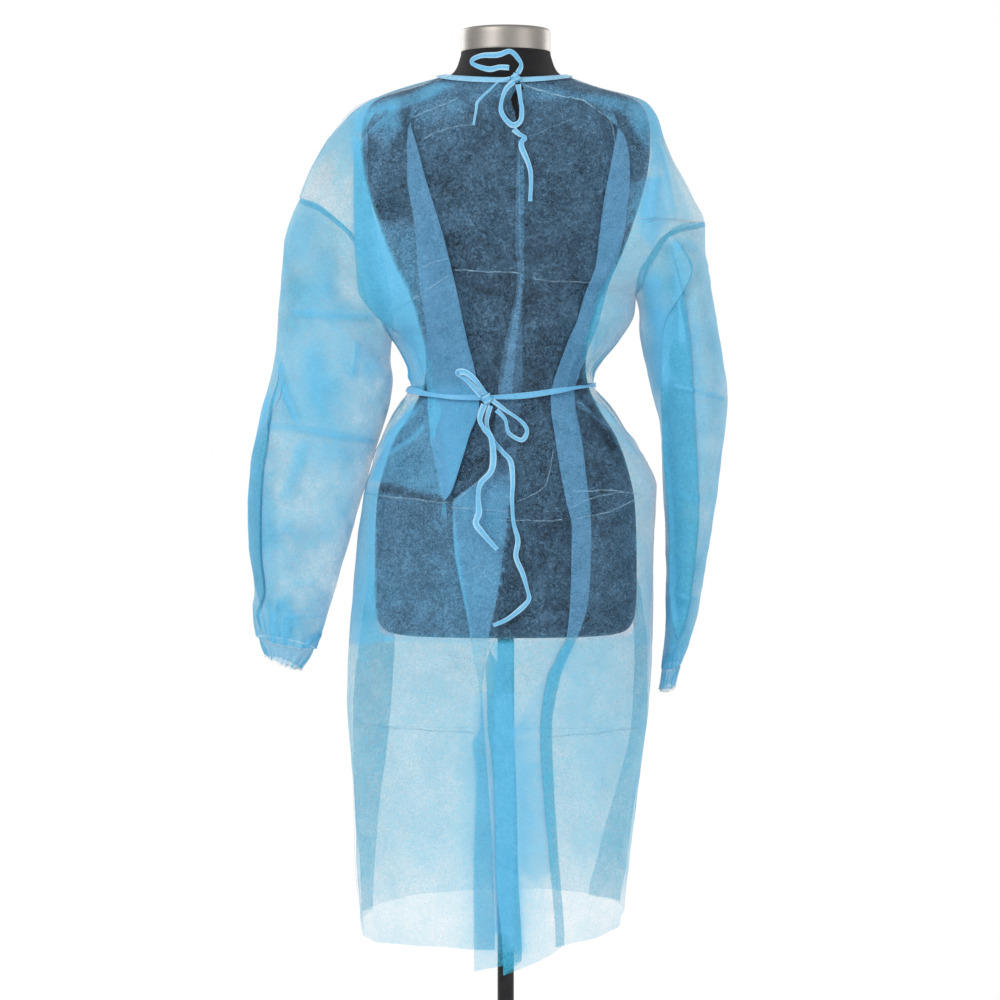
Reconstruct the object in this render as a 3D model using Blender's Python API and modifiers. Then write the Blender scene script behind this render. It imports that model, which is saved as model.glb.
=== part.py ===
"""Isolation gown tied at the back, worn by a limbless dress form on a pole and a round base.

Lengths in the tables are millimetres and are turned into metres when a mesh is made. +Z is up,
+X is the side of the right panel of the back, and the open back of the gown faces -Y. The
origin is on the floor, under the pole. Every cloth piece is a wall of the same thickness that
is carried by rings round the body or round an arm; a pleat is the same wall going forward,
back and forward again at rising distances from its ring.
"""

import math

import bpy
import numpy as np

MM = 0.001
WALL = 1.2
SEAM = 0.36

# Layers of a pleat, as distances out from the ring: under, the two ends of the middle, and top
UNDER, MIDDLE_IN, MIDDLE_OUT, TOP = 0.0, 1.9, 3.6, 5.5
LAP = 2.6  # how far the right panel of the back lies outside the left one
LAP_END, LAP_FADE = 1492.0, 30.0  # they are apart at the keyhole, from a little below this height
UNDERARM_LEFT, UNDERARM_RIGHT = 1194.0, 1250.0
ARM_TOP_LEFT, ARM_TOP_RIGHT = 1378.0, 1347.0
NECK_TOP = 1533.0
HEM = 425.0

# How much higher or lower than its row the hem ends, from HEM_SLOPES down
HEM_SLOPES, HEM_POWER = 700.0, 1.5
HEM_LEFT_SIDE, HEM_LEFT_EDGE = -7.0, -2.0
HEM_RIGHT_SIDE, HEM_RIGHT_EDGE = 21.0, -29.0
HEM_SKIRT_PLEAT = (-33.0, -33.0, -16.0, -16.0)
HEM_FRONT_RIGHT, HEM_FRONT, HEM_FRONT_LEFT = 22.0, 25.0, 10.0

# How far the neckline lies below its highest points, and where the cloth begins to follow it
NECK_DROP_BACK, NECK_DROP_FRONT, NECK_DROP_POWER = 9.0, 34.0, 1.5
NECK_DROP_START = 1430.0

# Sleeves: their step out and down from the armhole's edge, the edge's point that a pleat
# follows, and where on the edge the pleat's four corners lie
SLEEVE_GAP = (1.45, -0.4)
SLEEVE_LEFT_PLEAT_AT, SLEEVE_RIGHT_PLEAT_AT = 0, 1
PLEAT_SHARES = (0.2, 0.4, 0.6, 0.8)
CUFF_POINTS, CUFF_GATHERS, GATHER_DEPTH = 28, 7, 1.4

# Neck binding, belt and ties
TIE_WALL, TIE_WIDTH = 1.0, 8.0
NECK_TIE_WIDTH, NECK_TAIL_WIDTH, BOW_RIGHT_WIDTH, TAIL_LONG_WIDTH = 7.0, 5.0, 6.0, 6.5
BINDING_LIFT, BINDING_WIDTH, BINDING_STEPS = WALL + 1.3, 10.0, 36
SHOULDER_SLOPE = 0.27
BELT_WIDTH, BELT_STEPS = 8.0, 52
BELT_BACK_LIFT, BELT_SIDE_LIFT = 8.9, 3.2
BELT_NEAR_END, BELT_NEAR_FADE = 75.0, 20.0  # degrees from the back where it lies over pleats
KNOT_ANGLE, KNOT_REACH = -0.21, 5.7
WAIST_KNOT, WAIST_KNOT_SIZE = (-24, -103, 1118), (6.5, 4.2, 7.5)
NECK_KNOT, NECK_KNOT_SIZE = (12, -86.2, 1524), (6, 4.5, 6)

# Form
CAP_RADIUS, CAP_HEIGHT, CAP_BEVEL = 0.058, 0.030, 0.004
FORM_TOP, FORM_COLUMNS = 1564.7, 28
POLE_RADIUS, BASE_RADIUS, BASE_TOP = 0.0108, 0.182, 0.046
GAP = 0.0003


def table(columns, rows):
    """Rows under named columns, the first of which is the height z, rising."""
    data = np.array(sorted(rows), float)
    return {name: data[:, i] for i, name in enumerate(columns.split())}


def at(tab, column, z):
    """A column's value at height z, on a smooth curve that never passes its rows' values."""
    heights, values = tab["z"], tab[column]
    if z <= heights[0]:
        return float(values[0])
    if z >= heights[-1]:
        return float(values[-1])
    i = int(np.searchsorted(heights, z, side="right")) - 1
    step = np.diff(heights)
    slope = np.diff(values) / step

    def tangent(k):
        if k == 0 or k == len(values) - 1 or slope[k - 1] * slope[k] <= 0:
            return 0.0
        return 2 * slope[k - 1] * slope[k] / (slope[k - 1] + slope[k])

    t = (z - heights[i]) / step[i]
    start, end = tangent(i) * step[i], tangent(i + 1) * step[i]
    return float(
        values[i] * (2 * t**3 - 3 * t**2 + 1)
        + start * (t**3 - 2 * t**2 + t)
        + values[i + 1] * (3 * t**2 - 2 * t**3)
        + end * (t**3 - t**2)
    )


class Side:
    """A stop on a seam of the panel, given by its angle and not by its x."""

    def __init__(self, angle):
        self.angle = angle


def rings(columns, rows):
    """Rings of a tube from its upper end down, each with its values under named columns."""
    return [dict(zip(columns.split(), row)) for row in rows]


# Rings of the gown's body: where the ring ends left and right, its depth behind and in front
# of the pole, and the power of its superellipse. Between the underarms and the shoulders the
# ring runs on under the sleeves, and the armhole cuts the panels.
BODY = table("z left right back front power", [
    (425, -190, 155, 140, 128, 2.5),
    (500, -198, 161, 140, 127, 2.5),
    (580, -200, 170, 139, 126, 2.5),
    (646, -202, 178, 138, 126, 2.5),
    (716, -205, 186, 137, 125, 2.5),
    (800, -203, 189, 135, 124, 2.5),
    (890, -196, 192, 132, 121, 2.5),
    (958, -189, 194, 129, 117, 2.4),
    (1002, -182, 196, 124, 112, 2.4),
    (1040, -171, 181, 114, 105, 2.3),
    (1072, -159, 160, 103, 99, 2.3),
    (1104, -141, 139, 93, 95, 2.2),
    (1124, -129, 121, 89, 93, 2.2),
    (1135, -124, 114, 88, 93, 2.2),
    (1150, -126, 115, 88, 95, 2.2),
    (1165, -131, 124, 90, 98, 2.2),
    (1194, -148, 149, 93, 106, 2.3),
    (1227, -206, 167, 96, 113, 2.3),
    (1250, -240, 169, 98, 118, 2.3),
    (1270, -262, 217, 99, 121, 2.3),
    (1290, -278, 247, 100, 123, 2.3),
    (1328, -285, 262, 102, 122, 2.3),
    (1352, -277, 257, 102, 117, 2.2),
    (1378, -267, 242, 101, 110, 2.2),
    (1405, -257, 226, 100, 103, 2.2),
    (1425, -247, 214, 98, 97, 2.2),
    (1454, -230, 202, 95, 90, 2.1),
    (1470, -218, 197, 93, 87, 2.1),
    (1490, -201, 189, 90, 84, 2.0),
    (1501, -184, 180, 87, 82, 2.0),
    (1510, -161, 158, 84, 81, 2.0),
    (1518, -137, 126, 82, 80, 2.0),
    (1524, -116, 107, 80, 79, 2.0),
    (1529, -97, 93, 78, 78, 2.0),
    (1533, -80, 80, 77, 77, 2.0),
])

# Rings of the form itself, inside the gown
FORM = table("z half back front power", [
    (812, 146, 82, 74, 2.4),
    (815, 156, 92, 84, 2.4),
    (823, 164, 99, 90, 2.4),
    (838, 169, 104, 94, 2.4),
    (870, 171, 107, 96, 2.4),
    (906, 171, 110, 97, 2.4),
    (950, 170, 112, 97, 2.4),
    (984, 168, 111, 96, 2.4),
    (1023, 160, 103, 93, 2.3),
    (1068, 144, 91, 88, 2.2),
    (1100, 124, 82, 85, 2.2),
    (1133, 108, 78, 83, 2.2),
    (1156, 104, 76, 84, 2.2),
    (1179, 105, 77, 89, 2.2),
    (1207, 112, 81, 97, 2.2),
    (1248, 124, 86, 109, 2.2),
    (1289, 144, 90, 116, 2.2),
    (1320, 157, 92, 117, 2.2),
    (1346, 166, 93, 112, 2.2),
    (1380, 177, 93, 103, 2.2),
    (1410, 184, 91, 95, 2.2),
    (1440, 187, 88, 86, 2.2),
    (1465, 187, 85, 80, 2.2),
    (1485, 183, 81, 75, 2.1),
    (1497, 176, 78, 73, 2.0),
    (1505, 165, 76, 72, 2.0),
    (1512, 144, 74, 71, 2.0),
    (1518, 122, 72, 70, 2.0),
    (1524, 102, 71, 69, 2.0),
    (1529, 86, 70, 69, 2.0),
    (1534, 74, 69, 68, 2.0),
    (1543, 65, 64, 64, 2.0),
    (1554, 60.5, 60, 60, 2.0),
    (FORM_TOP, 58, 58, 58, 2.0),
])

# Where the armholes cut the panels, from the underarm to the shoulder's end
ARMHOLE_LEFT = table("z x", [
    (1194, -148), (1206, -153), (1224, -158), (1250, -164), (1290, -177),
    (1328, -196), (1352, -221), (1370, -246), (1378, -266.5),
])
ARMHOLE_RIGHT = table("z x", [
    (1250, 168.5), (1262, 172), (1288, 179), (1300, 187),
    (1320, 199), (1334, 211), (1342, 229), (1347, 257.5),
])

# Free edges of the open back
EDGE_LEFT = table("z x", [
    (425, -14), (520, -16), (600, -20), (700, -27), (754, -30), (781, -26), (834, -19),
    (865, -12), (920, -4), (980, 3), (1034, 11), (1086, 16), (1118, 21), (1216, 21),
    (1305, 19), (1440, 17), (1480, 12), (1503, 8), (1533, 7),
])
EDGE_RIGHT = table("z x", [
    (425, -40), (462, -41), (545, -40), (649, -37), (685, -42), (704, -33), (733, -32),
    (762, -35), (797, -42), (828, -46), (865, -53), (932, -65), (986, -67), (1013, -37),
    (1032, -20), (1128, -10), (1191, -1), (1216, 5), (1283, 15), (1308, 12),
    (1391, 12.5), (1442, 15), (1485, 17), (1514, 15.5), (1533, 14),
])

# Pleats: the sharp fold that shows, the hidden fold behind it, and how far the layers are
# lifted. Where fold and hidden have changed places, the pleat has opened to a soft step.
BACK_LEFT_PLEAT = table("z fold hidden lift", [
    (425, -92, -76, 0), (900, -92, -76, 0), (960, -84, -74, 0.35), (985, -79, -76, 1),
    (1000, -69, -82, 1), (1032, -58, -88, 1), (1073, -46, -96, 1), (1109, -34, -98, 1),
    (1134, -36, -99, 1), (1191, -49, -99, 1), (1274, -67, -110, 1), (1319, -78, -113, 1),
    (1353, -88, -117, 1), (1398, -102, -124, 1), (1440, -112.5, -124, 1),
    (1462, -118, -122, 1), (1474, -119, -117, 1), (1488, -119, -107, 0.5), (1501, -117, -102, 0),
    (1512, -112, -98, 0), (1533, -55, -48, 0),
])
BACK_RIGHT_PLEAT = table("z fold hidden lift", [
    (425, 62, 74, 1), (525, 55, 67, 1), (610, 48, 61, 1), (700, 43, 57, 1),
    (768, 52, 68, 1), (790, 63, 76, 1), (825, 77, 92, 1), (862, 80, 102, 1),
    (956, 82, 106, 1), (990, 75, 104, 1), (1060, 63, 96, 1), (1121, 56, 86, 1),
    (1134, 58, 88, 1), (1191, 78, 110, 1), (1216, 90, 119, 1), (1252, 101, 128, 1),
    (1287, 114, 139, 1), (1322, 118, 148, 1), (1356, 122, 152, 1), (1398, 129, 156, 1),
    (1425, 134, 155, 1), (1446, 138, 151, 1), (1461, 140, 143, 1), (1470, 139, 135, 1),
    (1484, 134, 122, 0.5), (1497, 126, 112, 0),
    (1512, 112, 98, 0), (1533, 55, 48, 0),
])
SKIRT_PLEAT = table("z fold hidden lift", [
    (425, -3, 19, 1), (525, -11, 15, 1), (608, -13, 13, 1), (665, -17, 11, 1),
    (704, -22, 6, 1), (746, -23, 0, 1), (781, -25, -9, 1), (806, -18, -21, 1),
    (834, -8, -20, 0.5), (865, -8, -22, 0), (932, -18, -32, 0), (986, -30, -44, 0),
    (1013, -4, -18, 0), (1032, 6, -6, 0), (1128, 16, 4, 0), (1216, 30, 18, 0),
    (1440, 40, 28, 0), (1510, 38, 28, 0), (1533, 26, 21, 0),
])
# Both folds of this one run the other way: the fold that shows is on the arm's side
ARM_FOLD = table("z fold hidden lift", [
    (425, -124, -134, 0), (1150, -112, -120, 0), (1180, -120, -130, 0),
    (1200, -134, -142, 0.4), (1215, -148, -144, 1), (1229, -166, -140, 1),
    (1258, -186, -138, 1), (1320, -190, -136, 1), (1380, -191, -141, 1),
    (1425, -190, -158, 1), (1446, -180, -172, 1), (1462, -166, -176, 1),
    (1480, -150, -168, 0.5), (1497, -138, -156, 0), (1512, -128, -142, 0),
    (1533, -66, -72, 0),
])
# Folds of the front panel beside the side seams, below the hips
FRONT_LEFT_FOLD = table("z fold hidden lift", [
    (425, -170, -132, 1), (520, -178, -136, 1), (646, -184, -144, 1), (716, -187, -150, 1),
    (800, -184, -152, 1), (862, -176, -158, 1), (890, -166, -170, 1), (930, -150, -168, 0.4),
    (958, -144, -160, 0), (1040, -126, -142, 0), (1135, -92, -104, 0), (1194, -110, -122, 0),
    (1250, -130, -144, 0), (1328, -150, -164, 0), (1425, -160, -176, 0), (1490, -144, -156, 0),
    (1512, -116, -126, 0), (1533, -62, -68, 0),
])
FRONT_RIGHT_FOLD = table("z fold hidden lift", [
    (425, 138, 122, 1), (520, 148, 132, 1), (646, 164, 146, 1), (716, 171, 154, 1),
    (800, 173, 156, 1), (862, 172, 158, 1), (890, 166, 170, 1), (930, 152, 168, 0.4),
    (958, 146, 162, 0), (1040, 132, 148, 0), (1135, 86, 98, 0), (1194, 112, 124, 0),
    (1250, 130, 142, 0), (1328, 148, 162, 0), (1425, 152, 168, 0), (1490, 138, 150, 0),
    (1512, 112, 122, 0), (1533, 62, 68, 0),
])

# Sleeves, ring by ring from the shoulder: the outer and the inner edge as x and z, half the
# depth, how far the middle stands before the pole's plane, and the pleat down the back of the
# sleeve with its sharp fold, its hidden fold and its lift
SLEEVE_COLUMNS = "outer_x outer_z inner_x inner_z depth middle fold hidden lift"
SLEEVE_LEFT = rings(SLEEVE_COLUMNS, [
    (-284, 1337, -150.5, 1168, 62, 6, -276, -268, 0),
    (-291, 1289, -147, 1140, 64, 4, -280, -270, 0),
    (-296, 1240, -152, 1110, 66, 1, -284, -274, 0),
    (-300, 1198, -161, 1076, 67, -3, -288, -278, 0),
    (-306, 1157, -171, 1045, 66, -8, -294, -286, 0.5),
    (-315, 1118, -180, 1015, 64, -11, -302, -300, 1),
    (-324, 1076, -189, 985, 62, -14, -305, -319, 1),
    (-330, 1030, -198, 955, 60, -16, -311, -326, 1),
    (-333, 970, -209, 917, 58, -17, -314, -329, 1),
    (-330, 914, -221, 877, 56, -17, -312, -326, 1),
    (-325, 874, -231, 846, 52, -16, -308, -320, 1),
    (-327, 840, -241, 815, 46, -14, -316, -311, 1),
    (-322, 808, -250, 793, 40, -13, -310, -306, 0),
])
SLEEVE_RIGHT = rings(SLEEVE_COLUMNS, [
    (264, 1304, 173.5, 1230, 74, 2, 236, 222, 1),
    (271, 1256, 174, 1202, 80, 0, 207, 228, 1),
    (279, 1206, 180, 1172, 84, 0, 205, 233, 1),
    (286, 1158, 186, 1140, 86, -2, 205.5, 236, 1),
    (291, 1116, 193, 1112, 86, -4, 206, 239, 1),
    (288, 1083, 200, 1086, 84, -6, 208, 241, 1),
    (280, 1035, 203, 1040, 81, -7, 210, 243, 1),
    (274, 985, 206, 990, 77, -8, 213, 246, 1),
    (266, 928, 208, 930, 72, -8, 214, 245, 1),
    (259, 876, 208, 876, 66, -8, 214, 240, 1),
    (252, 838, 208, 832, 58, -8, 217, 233, 1),
    (240, 800, 206, 792, 48, -8, 222, 217, 1),
    (228, 772, 205, 766, 41, -8, 218, 214, 0),
])
# Cuffs: the same rings without a pleat, going on from the sleeve's last one
CUFF_COLUMNS = "outer_x outer_z inner_x inner_z depth middle"
CUFF_LEFT = rings(CUFF_COLUMNS, [
    (-321.4, 806.6, -250.4, 791.6, 39.5, -13),
    (-317, 797, -255, 786, 35, -13),
    (-310, 779, -260, 770, 34, -13),
])
CUFF_RIGHT = rings(CUFF_COLUMNS, [
    (227.7, 770.6, 205, 764.6, 40.5, -8),
    (224, 761, 204.5, 755, 37, -8),
    (219, 745, 203, 738, 36, -8),
])

CLOTH = (0.134, 0.38, 0.61, 1.0)


def material(name, colour, roughness, metallic=0.0):
    made = bpy.data.materials.get(name)
    if made is None:
        made = bpy.data.materials.new(name)
        made.use_nodes = True
        shader = made.node_tree.nodes["Principled BSDF"]
        shader.inputs["Base Color"].default_value = colour
        shader.inputs["Roughness"].default_value = roughness
        shader.inputs["Metallic"].default_value = metallic
    return made


def gown_cloth():
    return material("gown_nonwoven", CLOTH, 0.7)


def tie_cloth():
    return material("tie_nonwoven", (0.25, 0.55, 0.78, 1.0), 0.6)


def cuff_elastic():
    return material("cuff_elastic", (0.62, 0.76, 0.84, 1.0), 0.75)


def form_jersey():
    return material("form_jersey", (0.012, 0.012, 0.014, 1.0), 0.85)


def brushed_cap():
    return material("cap_brushed_steel", (0.55, 0.52, 0.48, 1.0), 0.38, 1.0)


def stand_paint():
    return material("stand_dark_metal", (0.035, 0.035, 0.037, 1.0), 0.42, 0.6)


def finish(name, points, faces, paint, home, wall=0.0, smooth=True):
    """Makes a mesh object from millimetre points, with a wall if it is an open sheet."""
    mesh = bpy.data.meshes.new(name)
    mesh.from_pydata([tuple(MM * float(c) for c in p) for p in points], [], faces)
    mesh.update()
    mesh.materials.append(paint)
    if smooth:
        mesh.shade_smooth()
    thing = bpy.data.objects.new(name, mesh)
    home.objects.link(thing)
    if wall:
        shell = thing.modifiers.new("wall", "SOLIDIFY")
        shell.thickness = wall * MM
        shell.offset = 0.0
        shell.use_even_offset = False
    return thing


def grid_faces(rows, columns, closed=False):
    """Quads of a grid of points stored row by row, its last column joined to its first."""
    faces = []
    for r in range(rows - 1):
        for c in range(columns if closed else columns - 1):
            d = (c + 1) % columns
            faces.append((
                r * columns + c, r * columns + d, (r + 1) * columns + d, (r + 1) * columns + c,
            ))
    return faces


def superellipse(centre, half, back, front, power, angle):
    """Point of a ring, the angle counted from the back over the right to the front."""
    s, c = math.sin(angle), math.cos(angle)
    depth = back if c >= 0 else front
    x = centre + half * math.copysign(abs(s) ** (2 / power), s)
    return x, -math.copysign(depth * abs(c) ** (2 / power), c)


def body_span(z):
    left, right = at(BODY, "left", z), at(BODY, "right", z)
    return (left + right) / 2, (right - left) / 2


def body_point(z, angle):
    centre, half = body_span(z)
    power = at(BODY, "power", z)
    back, front = at(BODY, "back", z), at(BODY, "front", z)
    x, y = superellipse(centre, half, back, front, power, angle)
    return np.array((x, y, z))


def neck_drop(angle):
    """How far the neckline lies below its highest points, beside the neck."""
    c = math.cos(angle)
    return (NECK_DROP_BACK if c > 0 else NECK_DROP_FRONT) * c * c


def lifted(z, angle, lift):
    """Point of the gown's ring moved out by lift, and lowered near the neckline."""
    share = min(max((z - NECK_DROP_START) / (NECK_TOP - NECK_DROP_START), 0), 1)
    z = z - neck_drop(angle) * share**NECK_DROP_POWER
    across = body_point(z, angle + 0.02) - body_point(z, angle - 0.02)
    up = body_point(z + 1, angle) - body_point(z - 1, angle)
    out = np.cross(across, up)
    return body_point(z, angle) + out / np.linalg.norm(out) * lift


def angle_at(z, x, front=False):
    """Angle of the ring's point at x, on its back or on its front."""
    centre, half = body_span(z)
    share = (x - centre) / half
    s = math.copysign(min(abs(share), 1) ** (at(BODY, "power", z) / 2), share)
    return math.pi - math.asin(s) if front else math.asin(s)


def spread(stops, counts):
    """Points between stops that are (angle, lift, hem) each, counts[i] steps from stop i."""
    path = [stops[0]]
    for (a, b), steps in zip(zip(stops, stops[1:]), counts):
        for k in range(1, steps + 1):
            path.append(tuple(p + (q - p) * k / steps for p, q in zip(a, b)))
    return path


def pleat_stops(pleat, z, base=0.0):
    """The four corners of a pleat in the order fold top, fold middle, hidden middle, under."""
    lift = at(pleat, "lift", z)
    fold, hidden = at(pleat, "fold", z), at(pleat, "hidden", z)
    return [
        (fold, base + TOP * lift),
        (fold, base + MIDDLE_OUT * lift),
        (hidden, base + MIDDLE_IN * lift),
        (hidden, base + UNDER * lift),
    ]


def hem_share(z):
    """1 at the hem and 0 from the hips up, for the hem's own slopes."""
    return max((HEM_SLOPES - z) / (HEM_SLOPES - HEM), 0) ** HEM_POWER


def panel_points(rows, stops_at, counts, front=False):
    """A panel's points row by row. stops_at gives (angle or x, lift, hem) for each stop."""
    points = []
    for z in rows:
        stops = []
        for x, lift, hem in stops_at(z):
            angle = x.angle if isinstance(x, Side) else angle_at(z, x, front)
            stops.append((angle, lift, hem))
        for angle, lift, hem in spread(stops, counts):
            points.append(lifted(z + hem * hem_share(z), angle, lift))
    return points


def seam_side(z, sign, front=False):
    """Where a panel ends at its side: on the side or shoulder seam, or at the armhole."""
    low, high, hole = (
        (UNDERARM_LEFT, ARM_TOP_LEFT, ARMHOLE_LEFT)
        if sign < 0
        else (UNDERARM_RIGHT, ARM_TOP_RIGHT, ARMHOLE_RIGHT)
    )
    if low < z < high:
        return at(hole, "x", z)
    centre, half = body_span(z)
    slip = SEAM / max(at(BODY, "back", z), 1)
    if front:
        return Side(math.pi / 2 + slip if sign > 0 else 1.5 * math.pi - slip)
    return Side(sign * (math.pi / 2 - slip))


ROWS_SKIRT = [425, 490, 570, 649, 706, 746, 781, 806, 834, 880, 940, 986, 1013]
ROWS_WAIST = [1045, 1080, 1108, 1122, 1133, 1146, 1168]
ROWS_LEFT = ROWS_SKIRT + ROWS_WAIST + [
    1194, 1206, 1224, 1255, 1295, 1334, 1356, 1378, 1408, 1438, 1458, 1480, 1494,
    1505, 1514, 1523, 1533,
]
ROWS_RIGHT = ROWS_SKIRT + ROWS_WAIST + [
    1200, 1228, 1250, 1262, 1285, 1304, 1325, 1340, 1347, 1370, 1400, 1432, 1455,
    1480, 1494, 1505, 1514, 1523, 1533,
]
ROWS_FRONT = [425, 500, 600, 700, 790, 862, 890, 940, 1000, 1050, 1092, 1122, 1133, 1146] + [
    1168, 1194, 1208, 1228, 1250, 1266, 1290, 1315, 1334, 1347, 1362, 1378,
    1410, 1445, 1475, 1494, 1505, 1514, 1523, 1533,
]


def back_left_stops(z):
    """From the left side to the free edge: the arm fold, then the back pleat."""
    side = seam_side(z, -1)
    top, middle_out, middle_in, under = pleat_stops(ARM_FOLD, z)
    fold = pleat_stops(BACK_LEFT_PLEAT, z)
    chain = [under, middle_in, middle_out, top] + fold
    edge = at(EDGE_LEFT, "x", z)
    return (
        [(side, 0, HEM_LEFT_SIDE)] + [(x, lift, 0) for x, lift in chain]
        + [(edge, 0, HEM_LEFT_EDGE)]
    )


def back_right_stops(z):
    """From the right side to the free edge: the back pleat, then the skirt's own pleat."""
    side = seam_side(z, 1)
    back = [(x, lift, 0) for x, lift in pleat_stops(BACK_RIGHT_PLEAT, z)]
    over = lap_lift(z)
    pleat = zip(pleat_stops(SKIRT_PLEAT, z, over), HEM_SKIRT_PLEAT)
    skirt = [(x, lift, hem) for (x, lift), hem in pleat]
    edge = (at(EDGE_RIGHT, "x", z), over, HEM_RIGHT_EDGE)
    return [(side, 0, HEM_RIGHT_SIDE)] + back + skirt + [edge]


def lap_lift(z):
    """The right panel's lift where it lies on the left one; at the keyhole they are apart."""
    return LAP * min(max((LAP_END - z) / LAP_FADE, 0), 1)


def front_stops(z):
    """From the right side seam over the front to the left side seam."""
    right = [(x, lift, HEM_FRONT_RIGHT) for x, lift in pleat_stops(FRONT_RIGHT_FOLD, z)[::-1]]
    left = [(x, lift, HEM_FRONT_LEFT) for x, lift in pleat_stops(FRONT_LEFT_FOLD, z)]
    return (
        [(seam_side(z, 1, True), 0, HEM_RIGHT_SIDE)] + right + [(0, 0, HEM_FRONT)] + left
        + [(seam_side(z, -1, True), 0, HEM_LEFT_SIDE)]
    )


COUNTS_LEFT = (3, 1, 1, 1, 3, 1, 2, 1, 3)
COUNTS_RIGHT = (4, 1, 2, 1, 3, 1, 1, 1, 2)
COUNTS_FRONT = (2, 1, 1, 1, 4, 4, 1, 1, 1, 2)


def make_panel(name, rows, stops_at, counts, home, front=False):
    points = panel_points(rows, stops_at, counts, front)
    columns = sum(counts) + 1
    return finish(name, points, grid_faces(len(rows), columns), gown_cloth(), home, WALL)


def armhole_ring(sign):
    """The armhole's edge, from the top down the back, under the arm and up the front, and the
    number of steps down its back."""
    low, high, hole, back_rows = (
        (UNDERARM_LEFT, ARM_TOP_LEFT, ARMHOLE_LEFT, ROWS_LEFT)
        if sign < 0
        else (UNDERARM_RIGHT, ARM_TOP_RIGHT, ARMHOLE_RIGHT, ROWS_RIGHT)
    )
    back = [z for z in back_rows if low < z < high]
    front = [z for z in ROWS_FRONT if low < z < high]
    ring = [body_point(high, sign * math.pi / 2)]
    ring += [body_point(z, angle_at(z, at(hole, "x", z))) for z in back[::-1]]
    ring += [body_point(low, sign * math.pi / 2)]
    ring += [body_point(z, angle_at(z, at(hole, "x", z), True)) for z in front]
    return np.array(ring), len(back) + 1


def ring_frame(ring):
    """Middle of a ring and the vector from it to the ring's outer edge."""
    outer = np.array((ring["outer_x"], 0, ring["outer_z"]))
    inner = np.array((ring["inner_x"], 0, ring["inner_z"]))
    return (outer + inner) / 2, (outer - inner) / 2


def ring_place(centre, half, depth, middle, angle, lift=0.0):
    """Point of a tube's ring, the angle counted from its outer edge over its back."""
    back = np.array((0, -1.0, 0))
    width = np.linalg.norm(half)
    out = half / width * math.cos(angle) * depth + back * math.sin(angle) * width
    return (
        centre + half * math.cos(angle) + back * (math.sin(angle) * depth - middle)
        + out / np.linalg.norm(out) * lift
    )


def even_steps(start, end, steps):
    return [start + (end - start) * k / steps for k in range(steps)]


def sleeve_points(sign, sleeve, pleat_at):
    """Rings of a sleeve, the first just off the armhole's edge. The pleat's four corners are
    points of each ring's back, and in the armhole they lie on the edge after point pleat_at."""
    first, back_steps = armhole_ring(sign)
    a, b = first[pleat_at], first[pleat_at + 1]
    corners = [a + (b - a) * share for share in PLEAT_SHARES]
    edge = list(first[: pleat_at + 1]) + corners + list(first[pleat_at + 1:])
    columns = len(edge)
    points = [p + np.array((sign * SLEEVE_GAP[0], 0, SLEEVE_GAP[1])) for p in edge]
    for ring in sleeve:
        centre, half = ring_frame(ring)
        folded, turned_in = (
            math.acos((ring[fold] - centre[0]) / half[0]) for fold in ("fold", "hidden")
        )
        lift = ring["lift"]
        path = [(angle, 0.0) for angle in even_steps(0, folded, pleat_at + 1)]
        path += [
            (folded, TOP * lift), (folded, MIDDLE_OUT * lift),
            (turned_in, MIDDLE_IN * lift), (turned_in, UNDER),
        ]
        after = back_steps - pleat_at
        path += [(angle, 0.0) for angle in even_steps(turned_in, math.pi, after)[1:]]
        path += [
            (angle, 0.0)
            for angle in even_steps(math.pi, 2 * math.pi, columns - len(path))
        ]
        points += [
            ring_place(centre, half, ring["depth"], ring["middle"], *place) for place in path
        ]
    return points, columns


def make_sleeve(name, sign, sleeve, pleat_at, home):
    points, columns = sleeve_points(sign, sleeve, pleat_at)
    faces = grid_faces(len(sleeve) + 1, columns, closed=True)
    return finish(name, points, faces, gown_cloth(), home, WALL)


def make_cuff(name, cuff, home):
    """The elastic hem of a sleeve, its edge drawn into small gathers."""
    points = []
    for number, ring in enumerate(cuff):
        centre, half = ring_frame(ring)
        for angle in even_steps(0, 2 * math.pi, CUFF_POINTS):
            wave = GATHER_DEPTH * math.sin(CUFF_GATHERS * angle) * min(number, 1)
            points.append(ring_place(centre, half, ring["depth"], ring["middle"], angle, wave))
    faces = grid_faces(len(cuff), CUFF_POINTS, closed=True)
    return finish(name, points, faces, cuff_elastic(), home, WALL)


def make_binding(home):
    """The strip that binds the neckline, moved out from the panels' own points."""
    points = []
    for width in (0, BINDING_WIDTH):
        z = NECK_TOP - width
        start = angle_at(z, at(EDGE_RIGHT, "x", z))
        end = 2 * math.pi + angle_at(z, at(EDGE_LEFT, "x", z))
        for k in range(BINDING_STEPS + 1):
            angle = start + (end - start) * k / BINDING_STEPS
            fall = SHOULDER_SLOPE + (1 - SHOULDER_SLOPE) * math.cos(angle) ** 2
            points.append(lifted(NECK_TOP - width * fall, angle, BINDING_LIFT))
    faces = grid_faces(2, BINDING_STEPS + 1)
    return finish("neck_binding", points, faces, tie_cloth(), home, TIE_WALL)


def ribbon(name, route, home, facing=(0, -1, 0), width=TIE_WIDTH):
    """A flat strip of cloth along a route, its face turned to the given direction."""
    route = [np.array(p, float) for p in route]
    points = []
    for i, p in enumerate(route):
        before, after = route[max(i - 1, 0)], route[min(i + 1, len(route) - 1)]
        side = np.cross(after - before, np.array(facing, float))
        side /= np.linalg.norm(side)
        points += [p - side * width / 2, p + side * width / 2]
    return finish(name, points, grid_faces(len(route), 2), tie_cloth(), home, TIE_WALL)


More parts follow.
